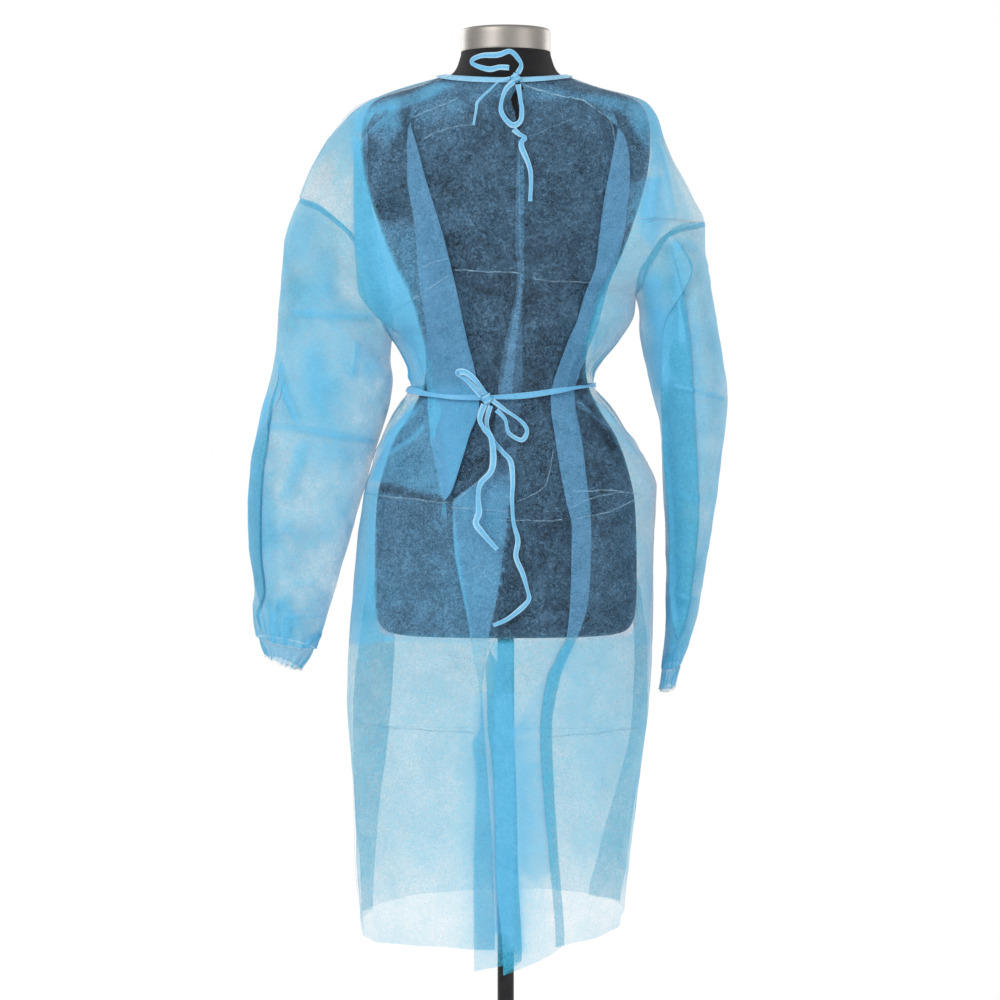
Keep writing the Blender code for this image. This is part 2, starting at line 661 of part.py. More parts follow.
def smooth_route(route, steps=3):
    """More points on a soft curve through the route's own points."""
    route = [np.array(p, float) for p in route]
    line = []
    for i in range(len(route) - 1):
        a, b = route[i], route[i + 1]
        before, after = route[max(i - 1, 0)], route[min(i + 2, len(route) - 1)]
        for k in range(steps):
            t = k / steps
            line.append(
                0.5 * (2 * a + (b - before) * t + (2 * before - 5 * a + 4 * b - after) * t**2
                       + (3 * a - before - 3 * b + after) * t**3)
            )
    return line + [route[-1]]


def knot(name, place, size, home):
    """A small pulled knot, a soft lump of cloth."""
    bpy.ops.mesh.primitive_uv_sphere_add(segments=14, ring_count=8, radius=1.0)
    lump = bpy.context.object
    lump.name = lump.data.name = name
    for vertex in lump.data.vertices:
        vertex.co = [MM * (p + s * c) for p, s, c in zip(place, size, vertex.co)]
    lump.data.materials.append(tie_cloth())
    lump.data.shade_smooth()
    adopt(lump, home)
    return lump


def adopt(thing, home):
    for other in list(thing.users_collection):
        other.objects.unlink(thing)
    home.objects.link(thing)


# The belt lies round the waist: its height at places given by the angle from the back
BELT = table("z height", [
    (-180, 1130), (-90, 1129), (-18, 1118), (0, 1119), (40, 1128), (90, 1135), (180, 1130),
])


def belt_lift(degrees):
    """Out over the pleats of the back, and close to the cloth at the sides and in front."""
    near = min(max((BELT_NEAR_END - abs(degrees)) / BELT_NEAR_FADE, 0), 1)
    return BELT_SIDE_LIFT + (BELT_BACK_LIFT - BELT_SIDE_LIFT) * near * near * (3 - 2 * near)


def make_belt(home):
    points = []
    start = math.degrees(KNOT_ANGLE) + KNOT_REACH
    end = start + 360 - 2 * KNOT_REACH
    for edge in (-0.5, 0.5):
        for k in range(BELT_STEPS + 1):
            degrees = start + (end - start) * k / BELT_STEPS
            wrapped = degrees - 360 if degrees > 180 else degrees
            z = at(BELT, "height", wrapped) + edge * BELT_WIDTH
            points.append(lifted(z, math.radians(degrees), belt_lift(wrapped)))
    faces = grid_faces(2, BELT_STEPS + 1)
    return finish("waist_belt", points, faces, tie_cloth(), home, TIE_WALL)


def make_torso(home):
    """The form from its underside to the neck's top, one closed body."""
    rows, columns = list(FORM["z"]), FORM_COLUMNS
    points = []
    for z in rows:
        half, power = at(FORM, "half", z), at(FORM, "power", z)
        back, front = at(FORM, "back", z), at(FORM, "front", z)
        for k in range(columns):
            x, y = superellipse(0, half, back, front, power, 2 * math.pi * k / columns)
            points.append((x, y, z))
    faces = grid_faces(len(rows), columns, closed=True)
    faces.append(tuple(range(columns))[::-1])
    faces.append(tuple((len(rows) - 1) * columns + k for k in range(columns)))
    return finish("form_torso", points, faces, form_jersey(), home)


def turned(name, profile, paint, home, steps=36):
    """A round part from its profile, which runs down the outer side from top to bottom."""
    mesh = bpy.data.meshes.new(name)
    edges = [(i, i + 1) for i in range(len(profile) - 1)]
    mesh.from_pydata([(r, 0, z) for r, z in profile], edges, [])
    mesh.materials.append(paint)
    thing = bpy.data.objects.new(name, mesh)
    home.objects.link(thing)
    screw = thing.modifiers.new("turn", "SCREW")
    screw.steps = screw.render_steps = steps
    screw.use_merge_vertices = True
    screw.merge_threshold = 0.00001
    screw.use_smooth_shade = True
    return thing


def make_stand(home):
    torso_low = FORM["z"][0] * MM
    cap_low = FORM_TOP * MM + GAP
    cap_top = cap_low + CAP_HEIGHT
    turned("form_neck_cap", [
        (0, cap_top), (CAP_RADIUS - CAP_BEVEL, cap_top),
        (CAP_RADIUS - 0.3 * CAP_BEVEL, cap_top - 0.3 * CAP_BEVEL),
        (CAP_RADIUS, cap_top - CAP_BEVEL), (CAP_RADIUS, cap_low), (0, cap_low),
    ], brushed_cap(), home)
    turned("form_pole", [
        (0, torso_low - GAP), (POLE_RADIUS, torso_low - GAP),
        (POLE_RADIUS, BASE_TOP + GAP), (0, BASE_TOP + GAP),
    ], stand_paint(), home, 24)
    turned("form_base", [
        (0, BASE_TOP), (0.0155, BASE_TOP), (0.0175, BASE_TOP - 0.002), (0.0175, 0.024),
        (0.024, 0.0185), (0.06, 0.0152), (0.12, 0.0118), (BASE_RADIUS - 0.012, 0.0085),
        (BASE_RADIUS - 0.003, 0.0065), (BASE_RADIUS, 0.0035), (BASE_RADIUS - 0.0015, 0.0),
        (0, 0.0),
    ], stand_paint(), home, 44)


# Routes of the ties, chosen by hand along the strips as they hang
NECK_LOOP_UPPER = [
    (15, -87.8, 1529.6), (19, -91.5, 1537), (17.5, -94, 1544), (6, -94, 1556), (-10, -93, 1552),
    (-30, -93, 1551), (-42, -93, 1546), (-41, -92.5, 1540), (-22, -92, 1534),
    (-8, -91, 1536.5), (4, -91, 1536),
]
NECK_LOOP_LOWER = [
    (10, -89.6, 1518.8), (-1, -94, 1507), (-6.5, -96, 1487), (-3, -98, 1474), (8, -99.5, 1463),
    (18, -100, 1468), (20, -99.5, 1483), (17.5, -96.5, 1500), (15.5, -92.5, 1515),
]
NECK_TAIL_LONG = [
    (9.5, -101, 1458), (16, -101.5, 1452), (24, -102.5, 1447), (20, -104, 1442),
    (20, -104.5, 1434), (28, -105, 1415), (31.5, -105.5, 1398), (30.5, -106, 1367),
]
NECK_TAIL_SHORT = [
    (5.2, -87.4, 1524), (-9, -91, 1519), (-17, -93.5, 1511), (-26, -95, 1503),
    (-36, -97, 1492), (-37.5, -98, 1483), (-41, -99.5, 1463),
]
BOW_LEFT_OUT = [
    (-30.2, -104.2, 1122), (-42, -108, 1134), (-54, -109, 1146), (-60, -109, 1150),
]
BOW_LEFT_BACK = [
    (-59, -112, 1152), (-50, -113, 1151), (-38, -111.5, 1141), (-26, -106.2, 1124.2),
]
BOW_RIGHT = [
    (-17, -104.6, 1116), (-1, -109, 1104), (18, -111, 1091), (26.5, -112, 1079),
    (23, -112, 1068), (16, -111.5, 1067), (3, -110.5, 1076), (-1, -110, 1092),
    (-12, -107.5, 1104),
]
TAIL_SHORT = [
    (-27.5, -105.4, 1111.2), (-33, -111.5, 1093), (-28, -116, 1081), (-19, -120.5, 1070),
    (-16, -126, 1046), (-19, -130, 1027), (-32, -133.5, 1012), (-35, -136, 995),
    (-34, -138, 976), (-38, -139, 963), (-31, -140, 952), (-11, -141, 929),
]
TAIL_LONG = [
    (-19.5, -104.2, 1109.5), (-24.5, -106.5, 1088), (-16.5, -111.5, 1067), (-4, -117, 1051),
    (6, -121, 1039), (8.5, -128.5, 1014), (7.5, -132, 993), (9.5, -135, 963),
    (15, -136.5, 941), (12.5, -137.5, 920), (21, -138.5, 899), (27, -139.5, 878),
    (29, -140, 868), (25, -140.5, 861), (14, -141.5, 851), (0, -142.5, 841), (-16, -143, 834),
]


def make_ties(home):
    knot("neck_tie_knot", NECK_KNOT, NECK_KNOT_SIZE, home)
    for name, route in (
        ("neck_tie_loop_upper", NECK_LOOP_UPPER),
        ("neck_tie_loop_lower", NECK_LOOP_LOWER),
        ("neck_tie_tail_long", NECK_TAIL_LONG),
    ):
        ribbon(name, smooth_route(route, 2), home, width=NECK_TIE_WIDTH)
    ribbon("neck_tie_tail_short", smooth_route(NECK_TAIL_SHORT, 2), home, width=NECK_TAIL_WIDTH)
    knot("waist_knot", WAIST_KNOT, WAIST_KNOT_SIZE, home)
    ribbon("waist_bow_left_under", smooth_route(BOW_LEFT_OUT, 3), home)
    ribbon("waist_bow_left_over", smooth_route(BOW_LEFT_BACK, 3), home)
    ribbon("waist_bow_right", smooth_route(BOW_RIGHT, 3), home, width=BOW_RIGHT_WIDTH)
    ribbon("waist_tail_short", smooth_route(TAIL_SHORT, 2), home)
    ribbon("waist_tail_long", smooth_route(TAIL_LONG, 2), home, width=TAIL_LONG_WIDTH)


def clear_scene():
    for thing in list(bpy.data.objects):
        bpy.data.objects.remove(thing, do_unlink=True)


def main():
    clear_scene()
    home = bpy.data.collections.new("isolation_gown_on_form")
    bpy.context.scene.collection.children.link(home)
    make_panel("panel_back_left", ROWS_LEFT, back_left_stops, COUNTS_LEFT, home)
    make_panel("panel_back_right", ROWS_RIGHT, back_right_stops, COUNTS_RIGHT, home)
    make_panel("panel_front", ROWS_FRONT, front_stops, COUNTS_FRONT, home, front=True)
    make_sleeve("sleeve_left", -1, SLEEVE_LEFT, SLEEVE_LEFT_PLEAT_AT, home)
    make_sleeve("sleeve_right", 1, SLEEVE_RIGHT, SLEEVE_RIGHT_PLEAT_AT, home)
    make_cuff("cuff_left", CUFF_LEFT, home)
    make_cuff("cuff_right", CUFF_RIGHT, home)
    make_binding(home)
    make_belt(home)
    make_ties(home)
    make_torso(home)
    make_stand(home)


main()
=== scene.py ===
"""Looks of the isolation gown on its dress form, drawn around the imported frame.

Each cloth piece is one thin open sheet on its solid's form, so that light passes through it
as often as it has layers there. The tables are the gown's own sizes in millimetres, and the
meshes are in metres. +Z is up, and the open back of the gown faces -Y.
"""

import math

import bpy
import numpy as np
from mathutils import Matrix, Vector


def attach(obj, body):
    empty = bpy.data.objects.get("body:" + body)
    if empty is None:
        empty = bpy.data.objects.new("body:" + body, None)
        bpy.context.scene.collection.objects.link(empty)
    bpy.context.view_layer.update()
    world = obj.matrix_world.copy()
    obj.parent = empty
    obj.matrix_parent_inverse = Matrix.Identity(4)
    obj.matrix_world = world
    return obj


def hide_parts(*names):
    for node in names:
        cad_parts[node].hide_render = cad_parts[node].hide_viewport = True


MM = 0.001

# Layers of a pleat, as distances out from the ring, the round of its folds, and how far apart
# its columns stay where it has run out
UNDER, MIDDLE_IN, MIDDLE_OUT, TOP = 0.0, 1.9, 3.6, 5.5
FOLD_ROUND, COLUMN_APART = 0.7, 0.8
FOLD_FADE = 0.16  # share of a fold's length over which each end runs out
LAP = 2.6  # of the right back panel over the left one
UNDERARM_LEFT, UNDERARM_RIGHT = 1194.0, 1250.0
ARM_TOP_LEFT, ARM_TOP_RIGHT = 1378.0, 1347.0
NECK_TOP, NECK_SLOPE_FROM = 1533.0, 1430
NECK_FALL_BACK, NECK_FALL_FRONT = 9, 34
HEM, HEM_FALL_FROM = 425.0, 700
FORM_LOW, FORM_TOP = 812, 1564.7
CAP_LOW, CAP_TOP, CAP_RADIUS = 1565, 1595, 58
NECK_KNOT, WAIST_KNOT = (12, -86.2, 1524), (-24, -103, 1118)
BELT_WIDTH, BELT_BACK_LIFT, BELT_SIDE_LIFT = 8.0, 8.9, 3.2
BELT_START, BELT_END = math.degrees(-0.21) + 5.7, 350.4  # each side of the knot, in degrees
BINDING_LIFT, BINDING_WIDTH, SHOULDER_SLOPE = 2.5, 7.4, 0.27
# SEAM_OFF sets how much of the cloth's painted backlit colour the seam allowances take
SEAM_WIDTH, SEAM_DENSE, SEAM_OFF = 6.0, 0.6, 0.8
CUFF_DENSE, STRIP_DENSE = 0.62, 0.9
STRIP_CURL, STITCH_RADIUS, ELASTIC_RADIUS = 0.9, 0.34, 1.25
FLOOR_RADIUS, FLOOR_UNDER = 1.25, 0.0006  # in metres

# How far the hem is off its height at the side seams, the free edges, the skirt's pleat and
# along the front from right to left
HEM_SIDE = {-1: -7, 1: 21}
HEM_EDGE_LEFT, HEM_EDGE_RIGHT = -2, -29
HEM_SKIRT_OUT, HEM_SKIRT_IN = -33, -16
HEM_FRONT_RIGHT, HEM_FRONT_MIDDLE, HEM_FRONT_LEFT = 22, 25, 10

# Rows of a panel are this far apart, and closer above the shoulders
ROW_STEP, NECK_STEP, NECK_ROWS_FROM = 3.2, 3, 1490
SLEEVE_BETWEEN, CUFF_BETWEEN = 14, 7  # rows drawn from one ring of a table to the next
SLEEVE_GATHERS = 17
PLEAT_SHARES = (0.2, 0.3, 0.4, 0.6, 0.7, 0.8)
JERSEY_RIBS, JERSEY_STITCH = 290, 0.0016
WORLD_LIGHT = 0.62

# Colours, each from its darkest to its lightest
# Gown on the form and free of it: one cloth, painted greyer over the dark form and a clearer blue
# where light comes through it
GOWN_ON_FORM = (0.085, 0.27, 0.48), (0.22, 0.46, 0.72)
GOWN_FREE = (0.012, 0.41, 0.62), (0.09, 0.57, 0.78)
GOWN_THICK = (0.07, 0.40, 0.66), (0.14, 0.52, 0.80)
TIE_COLOURS = (0.10, 0.40, 0.70), (0.20, 0.56, 0.84)
CUFF_COLOURS = (0.08, 0.42, 0.68), (0.20, 0.60, 0.82)
POLE_COLOURS = (0.010, 0.010, 0.011), (0.024, 0.024, 0.026)
BASE_COLOURS = (0.014, 0.014, 0.015), (0.032, 0.032, 0.034)


def table(columns, rows):
    """Rows under named columns, the first of which is the height z, rising."""
    data = np.array(sorted(rows), float)
    return {name: data[:, i] for i, name in enumerate(columns.split())}


def rings(columns, rows):
    """Rings of a tube from its upper end down, each with its values under named columns."""
    return [dict(zip(columns.split(), row)) for row in rows]


SLEEVE_COLUMNS = "outer_x outer_z inner_x inner_z depth middle fold hidden lift"
CUFF_COLUMNS = "outer_x outer_z inner_x inner_z depth middle"
BODY = table("z left right back front power", [
    (425, -190, 155, 140, 128, 2.5),
    (500, -198, 161, 140, 127, 2.5),
    (580, -200, 170, 139, 126, 2.5),
    (646, -202, 178, 138, 126, 2.5),
    (716, -205, 186, 137, 125, 2.5),
    (800, -203, 189, 135, 124, 2.5),
    (890, -196, 192, 132, 121, 2.5),
    (958, -189, 194, 129, 117, 2.4),
    (1002, -182, 196, 124, 112, 2.4),
    (1040, -171, 181, 114, 105, 2.3),
    (1072, -159, 160, 103, 99, 2.3),
    (1104, -141, 139, 93, 95, 2.2),
    (1124, -129, 121, 89, 93, 2.2),
    (1135, -124, 114, 88, 93, 2.2),
    (1150, -126, 115, 88, 95, 2.2),
    (1165, -131, 124, 90, 98, 2.2),
    (1194, -148, 149, 93, 106, 2.3),
    (1227, -206, 167, 96, 113, 2.3),
    (1250, -240, 169, 98, 118, 2.3),
    (1270, -262, 217, 99, 121, 2.3),
    (1290, -278, 247, 100, 123, 2.3),
    (1328, -285, 262, 102, 122, 2.3),
    (1352, -277, 257, 102, 117, 2.2),
    (1378, -267, 242, 101, 110, 2.2),
    (1405, -257, 226, 100, 103, 2.2),
    (1425, -247, 214, 98, 97, 2.2),
    (1454, -230, 202, 95, 90, 2.1),
    (1470, -218, 197, 93, 87, 2.1),
    (1490, -201, 189, 90, 84, 2.0),
    (1501, -184, 180, 87, 82, 2.0),
    (1510, -161, 158, 84, 81, 2.0),
    (1518, -137, 126, 82, 80, 2.0),
    (1524, -116, 107, 80, 79, 2.0),
    (1529, -97, 93, 78, 78, 2.0),
    (1533, -80, 80, 77, 77, 2.0),
])
FORM = table("z half back front power", [
    (FORM_LOW, 146, 82, 74, 2.4),
    (815, 156, 92, 84, 2.4),
    (823, 164, 99, 90, 2.4),
    (838, 169, 104, 94, 2.4),
    (870, 171, 107, 96, 2.4),
    (906, 171, 110, 97, 2.4),
    (950, 170, 112, 97, 2.4),
    (984, 168, 111, 96, 2.4),
    (1023, 160, 103, 93, 2.3),
    (1068, 144, 91, 88, 2.2),
    (1100, 124, 82, 85, 2.2),
    (1133, 108, 78, 83, 2.2),
    (1156, 104, 76, 84, 2.2),
    (1179, 105, 77, 89, 2.2),
    (1207, 112, 81, 97, 2.2),
    (1248, 124, 86, 109, 2.2),
    (1289, 144, 90, 116, 2.2),
    (1320, 157, 92, 117, 2.2),
    (1346, 166, 93, 112, 2.2),
    (1380, 177, 93, 103, 2.2),
    (1410, 184, 91, 95, 2.2),
    (1440, 187, 88, 86, 2.2),
    (1465, 187, 85, 80, 2.2),
    (1485, 183, 81, 75, 2.1),
    (1497, 176, 78, 73, 2.0),
    (1505, 165, 76, 72, 2.0),
    (1512, 144, 74, 71, 2.0),
    (1518, 122, 72, 70, 2.0),
    (1524, 102, 71, 69, 2.0),
    (1529, 86, 70, 69, 2.0),
    (1534, 74, 69, 68, 2.0),
    (1543, 65, 64, 64, 2.0),
    (1554, 60.5, 60, 60, 2.0),
    (FORM_TOP, 58, 58, 58, 2.0),
])
ARMHOLE_LEFT = table("z x", [
    (1194, -148), (1206, -153), (1224, -158), (1250, -164), (1290, -177),
    (1328, -196), (1352, -221), (1370, -246), (1378, -266.5),
])
ARMHOLE_RIGHT = table("z x", [
    (1250, 168.5), (1262, 172), (1288, 179), (1300, 187),
    (1320, 199), (1334, 211), (1342, 229), (1347, 257.5),
])
EDGE_LEFT = table("z x", [
    (425, -14), (520, -16), (600, -20), (700, -27), (754, -30), (781, -26), (834, -19),
    (865, -12), (920, -4), (980, 3), (1034, 11), (1086, 16), (1118, 21), (1216, 21),
    (1305, 19), (1440, 17), (1480, 12), (1503, 8), (1533, 7),
])
EDGE_RIGHT = table("z x", [
    (425, -40), (462, -41), (545, -40), (649, -37), (685, -42), (704, -33), (733, -32),
    (762, -35), (797, -42), (828, -46), (865, -53), (932, -65), (986, -67), (1013, -37),
    (1032, -20), (1128, -10), (1191, -1), (1216, 5), (1283, 15), (1308, 12),
    (1391, 12.5), (1442, 15), (1485, 17), (1514, 15.5), (1533, 14),
])
BACK_LEFT_PLEAT = table("z fold hidden lift", [
    (425, -92, -76, 0), (900, -92, -76, 0), (960, -84, -74, 0.35), (985, -79, -76, 1),
    (1000, -69, -82, 1), (1032, -58, -88, 1), (1073, -46, -96, 1), (1109, -34, -98, 1),
    (1134, -36, -99, 1), (1191, -49, -99, 1), (1274, -67, -110, 1), (1319, -78, -113, 1),
    (1353, -88, -117, 1), (1398, -102, -124, 1), (1440, -112.5, -124, 1),
    (1462, -118, -122, 1), (1474, -119, -117, 1), (1488, -119, -107, 0.5), (1501, -117, -102, 0),
    (1512, -112, -98, 0), (1533, -55, -48, 0),
])
BACK_RIGHT_PLEAT = table("z fold hidden lift", [
    (425, 62, 74, 1), (525, 55, 67, 1), (610, 48, 61, 1), (700, 43, 57, 1),
    (768, 52, 68, 1), (790, 63, 76, 1), (825, 77, 92, 1), (862, 80, 102, 1),
    (956, 82, 106, 1), (990, 75, 104, 1), (1060, 63, 96, 1), (1121, 56, 86, 1),
    (1134, 58, 88, 1), (1191, 78, 110, 1), (1216, 90, 119, 1), (1252, 101, 128, 1),
    (1287, 114, 139, 1), (1322, 118, 148, 1), (1356, 122, 152, 1), (1398, 129, 156, 1),
    (1425, 134, 155, 1), (1446, 138, 151, 1), (1461, 140, 143, 1), (1470, 139, 135, 1),
    (1484, 134, 122, 0.5), (1497, 126, 112, 0),
    (1512, 112, 98, 0), (1533, 55, 48, 0),
])
SKIRT_PLEAT = table("z fold hidden lift", [
    (425, -3, 19, 1), (525, -11, 15, 1), (608, -13, 13, 1), (665, -17, 11, 1),
    (704, -22, 6, 1), (746, -23, 0, 1), (781, -25, -9, 1), (806, -18, -21, 1),
    (834, -8, -20, 0.5), (865, -8, -22, 0), (932, -18, -32, 0), (986, -30, -44, 0),
    (1013, -4, -18, 0), (1032, 6, -6, 0), (1128, 16, 4, 0), (1216, 30, 18, 0),
    (1440, 40, 28, 0), (1510, 38, 28, 0), (1533, 26, 21, 0),
])
ARM_FOLD = table("z fold hidden lift", [
    (425, -124, -134, 0), (1150, -112, -120, 0), (1180, -120, -130, 0),
    (1200, -134, -142, 0.4), (1215, -148, -144, 1), (1229, -166, -144, 1),
    (1258, -186, -148, 1), (1320, -190, -162, 1), (1380, -191, -173, 1),
    (1425, -190, -176, 1), (1446, -180, -175, 1), (1462, -166, -176, 1),
    (1480, -150, -168, 0.5), (1497, -138, -156, 0), (1512, -128, -142, 0),
    (1533, -66, -72, 0),
])
FRONT_LEFT_FOLD = table("z fold hidden lift", [
    (425, -184, -178, 1), (494, -189, -176, 1), (584, -193, -167, 1), (646, -195, -160, 1),
    (716, -196, -154, 1), (800, -190, -150, 1), (862, -180, -157, 1),
    (890, -166, -170, 1), (930, -150, -168, 0.4), (958, -144, -160, 0), (1040, -126, -142, 0),
    (1135, -92, -104, 0), (1194, -110, -122, 0), (1250, -130, -144, 0),
    (1328, -150, -164, 0), (1425, -160, -176, 0), (1490, -144, -156, 0),
    (1512, -116, -126, 0), (1533, -62, -68, 0),
])
FRONT_RIGHT_FOLD = table("z fold hidden lift", [
    (425, 146, 112, 1), (494, 156, 128, 1), (569, 165, 146, 1), (673, 178, 166, 1),
    (716, 181, 170, 1), (800, 182, 172, 1), (862, 176, 164, 1),
    (890, 166, 170, 1), (930, 152, 168, 0.4), (958, 146, 162, 0), (1040, 132, 148, 0),
    (1135, 86, 98, 0), (1194, 112, 124, 0), (1250, 130, 142, 0),
    (1328, 148, 162, 0), (1425, 152, 168, 0), (1490, 138, 150, 0),
    (1512, 112, 122, 0), (1533, 62, 68, 0),
])
SLEEVE_LEFT = rings(SLEEVE_COLUMNS, [
    (-284, 1337, -150.5, 1168, 62, 6, -276, -268, 0),
    (-291, 1289, -147, 1140, 64, 4, -280, -270, 0),
    (-296, 1240, -152, 1110, 66, 1, -284, -274, 0),
    (-300, 1198, -161, 1076, 67, -3, -288, -278, 0),
    (-306, 1157, -171, 1045, 66, -8, -294, -286, 0.5),
    (-315, 1118, -180, 1015, 64, -11, -302, -300, 1),
    (-324, 1076, -189, 985, 62, -14, -305, -319, 1),
    (-330, 1030, -198, 955, 60, -16, -311, -326, 1),
    (-333, 970, -209, 917, 58, -17, -314, -329, 1),
    (-330, 914, -221, 877, 56, -17, -312, -326, 1),
    (-325, 874, -231, 846, 52, -16, -308, -320, 1),
    (-327, 840, -241, 815, 46, -14, -316, -311, 1),
    (-322, 808, -250, 793, 40, -13, -310, -306, 0),
])
SLEEVE_RIGHT = rings(SLEEVE_COLUMNS, [
    (264, 1304, 173.5, 1230, 74, 2, 236, 222, 1),
    (271, 1256, 174, 1202, 80, 0, 207, 228, 1),
    (279, 1206, 180, 1172, 84, 0, 205, 233, 1),
    (286, 1158, 186, 1140, 86, -2, 205.5, 236, 1),
    (291, 1116, 193, 1112, 86, -4, 206, 239, 1),
    (288, 1083, 200, 1086, 84, -6, 208, 241, 1),
    (280, 1035, 203, 1040, 81, -7, 210, 243, 1),
    (274, 985, 206, 990, 77, -8, 213, 246, 1),
    (266, 928, 208, 930, 72, -8, 214, 245, 1),
    (259, 876, 208, 876, 66, -8, 214, 240, 1),
    (252, 838, 208, 832, 58, -8, 217, 233, 1),
    (240, 800, 206, 792, 48, -8, 222, 217, 1),
    (228, 772, 205, 766, 41, -8, 218, 214, 0),
])
CUFF_LEFT = rings(CUFF_COLUMNS, [
    (-321.4, 806.6, -250.4, 791.6, 39.5, -13),
    (-318, 796, -256, 781, 34, -13),
    (-312, 784, -268, 766, 30, -13),
])
CUFF_RIGHT = rings(CUFF_COLUMNS, [
    (227.7, 770.6, 205, 764.6, 40.5, -8),
    (224, 761, 204.5, 755, 37, -8),
    (219, 745, 203, 738, 36, -8),
])
BELT = table("z height", [
    (-180, 1130), (-90, 1129), (-18, 1118), (0, 1119), (40, 1128), (90, 1135), (180, 1130),
])
NECK_LOOP_UPPER = [
    (15, -87.8, 1529.6), (19, -91.5, 1537), (17.5, -94, 1544), (6, -94, 1556), (-10, -93, 1552),
    (-30, -93, 1551), (-42, -93, 1546), (-41, -92.5, 1540), (-22, -92, 1534),
    (-8, -91, 1536.5), (4, -91, 1536),
]
NECK_LOOP_LOWER = [
    (10, -89.6, 1518.8), (-1, -94, 1507), (-6.5, -96, 1487), (-3, -98, 1474), (8, -99.5, 1463),
    (18, -100, 1468), (20, -99.5, 1483), (17.5, -96.5, 1500), (15.5, -92.5, 1515),
]
NECK_TAIL_LONG = [
    (9.5, -101, 1458), (16, -101.5, 1452), (24, -102.5, 1447), (20, -104, 1442),
    (20, -104.5, 1434), (28, -105, 1415), (31.5, -105.5, 1398), (30.5, -106, 1367),
]
NECK_TAIL_SHORT = [
    (5.2, -87.4, 1524), (-9, -91, 1519), (-17, -93.5, 1511), (-26, -95, 1503),
    (-36, -97, 1492), (-37.5, -98, 1483), (-41, -99.5, 1463),
]
BOW_LEFT_OUT = [
    (-30.2, -104.2, 1122), (-42, -108, 1134), (-54, -109, 1146), (-60, -109, 1150),
]
BOW_LEFT_BACK = [
    (-59, -112, 1152), (-50, -113, 1151), (-38, -111.5, 1141), (-26, -106.2, 1124.2),
]
BOW_RIGHT = [
    (-17, -104.6, 1116), (-1, -109, 1104), (18, -111, 1091), (26.5, -112, 1079),
    (23, -112, 1068), (16, -111.5, 1067), (3, -110.5, 1076), (-1, -110, 1092),
    (-12, -107.5, 1104),
]
TAIL_SHORT = [
    (-27.5, -105.4, 1111.2), (-33, -111.5, 1093), (-28, -116, 1081), (-19, -120.5, 1070),
    (-16, -126, 1046), (-19, -130, 1027), (-32, -133.5, 1012), (-35, -136, 995),
    (-34, -138, 976), (-38, -139, 963), (-31, -140, 952), (-11, -141, 929),
]
TAIL_LONG = [
    (-19.5, -104.2, 1109.5), (-24.5, -106.5, 1088), (-16.5, -111.5, 1067), (-4, -117, 1051),
    (6, -121, 1039), (8.5, -128.5, 1014), (7.5, -132, 993), (9.5, -135, 963),
    (15, -136.5, 941), (12.5, -137.5, 920), (21, -138.5, 899), (27, -139.5, 878),
    (29, -140, 868), (25, -140.5, 861), (14, -141.5, 851), (0, -142.5, 841), (-16, -143, 834),
]

# Thin lines that the cloth keeps from being packed flat: line in x and z, strength, width
PACK_LINES = [
    ([(-66, 1281), (-20, 1279), (18, 1277)], 0.75, 2.2),
    ([(34, 1270), (78, 1266), (110, 1266)], 0.5, 2.2),
    ([(-184, 996), (-130, 992), (-71, 987)], 0.6, 3.0),
    ([(-71, 982), (-30, 979), (5, 977)], 0.7, 2.2),
    ([(-8, 966), (30, 965), (72, 966)], 0.7, 2.2),
    ([(-69, 986), (-44, 1005), (-20, 1032)], 0.7, 1.8),
    ([(12, 989), (49, 1008), (60, 1054)], 0.7, 1.8),
    ([(82, 1001), (120, 1003), (169, 997)], 0.8, 2.2),
    ([(84, 982), (118, 996), (150, 1000)], 0.6, 2.0),
    ([(87, 967), (131, 976), (180, 997)], 0.6, 2.2),
    ([(-53, 967), (-30, 975), (-10, 972)], 0.4, 1.8),
    ([(-196, 711), (-182, 703), (-134, 701), (-35, 698)], 0.85, 2.0),
    ([(53, 693), (119, 695), (172, 698)], 0.85, 2.0),
    ([(-73, 796), (-60, 792), (-43, 791)], 0.6, 1.8),
    ([(-54, 897), (-38, 906), (-28, 908)], 0.6, 1.8),
    ([(-73, 1295), (-92, 1290), (-110, 1281)], 0.6, 2.0),
    ([(-72, 1275), (-108, 1250), (-144, 1229)], 0.7, 2.2),
    ([(-107, 1444), (-86, 1456), (-60, 1462), (-40, 1466)], 0.5, 2.6),
    ([(40, 1452), (64, 1464), (88, 1474)], 0.3, 2.4),
    ([(16, 1520), (33, 1512), (59, 1504), (98, 1496), (116, 1484)], 1.0, 2.6),
    ([(116, 1484), (130, 1474), (136, 1462), (139, 1440)], 0.6, 2.2),
    ([(-119, 1474), (-106, 1480), (-84, 1488), (-60, 1499)], 0.7, 2.4),
]
PACK_LINES_FRONT = [
    ([(-120, 1280), (0, 1276), (120, 1279)], 0.7, 2.2),
    ([(-180, 990), (-60, 984), (70, 986), (180, 992)], 0.8, 2.4),
    ([(-180, 676), (0, 669), (160, 674)], 0.5, 1.8),
    ([(-2, 1440), (-4, 1200), (-1, 1000), (-3, 800), (0, 500)], 0.35, 2.2),
    ([(60, 1240), (92, 1200), (110, 1150)], 0.6, 2.0),
    ([(-70, 1060), (-84, 1010), (-110, 940)], 0.6, 2.0),
]

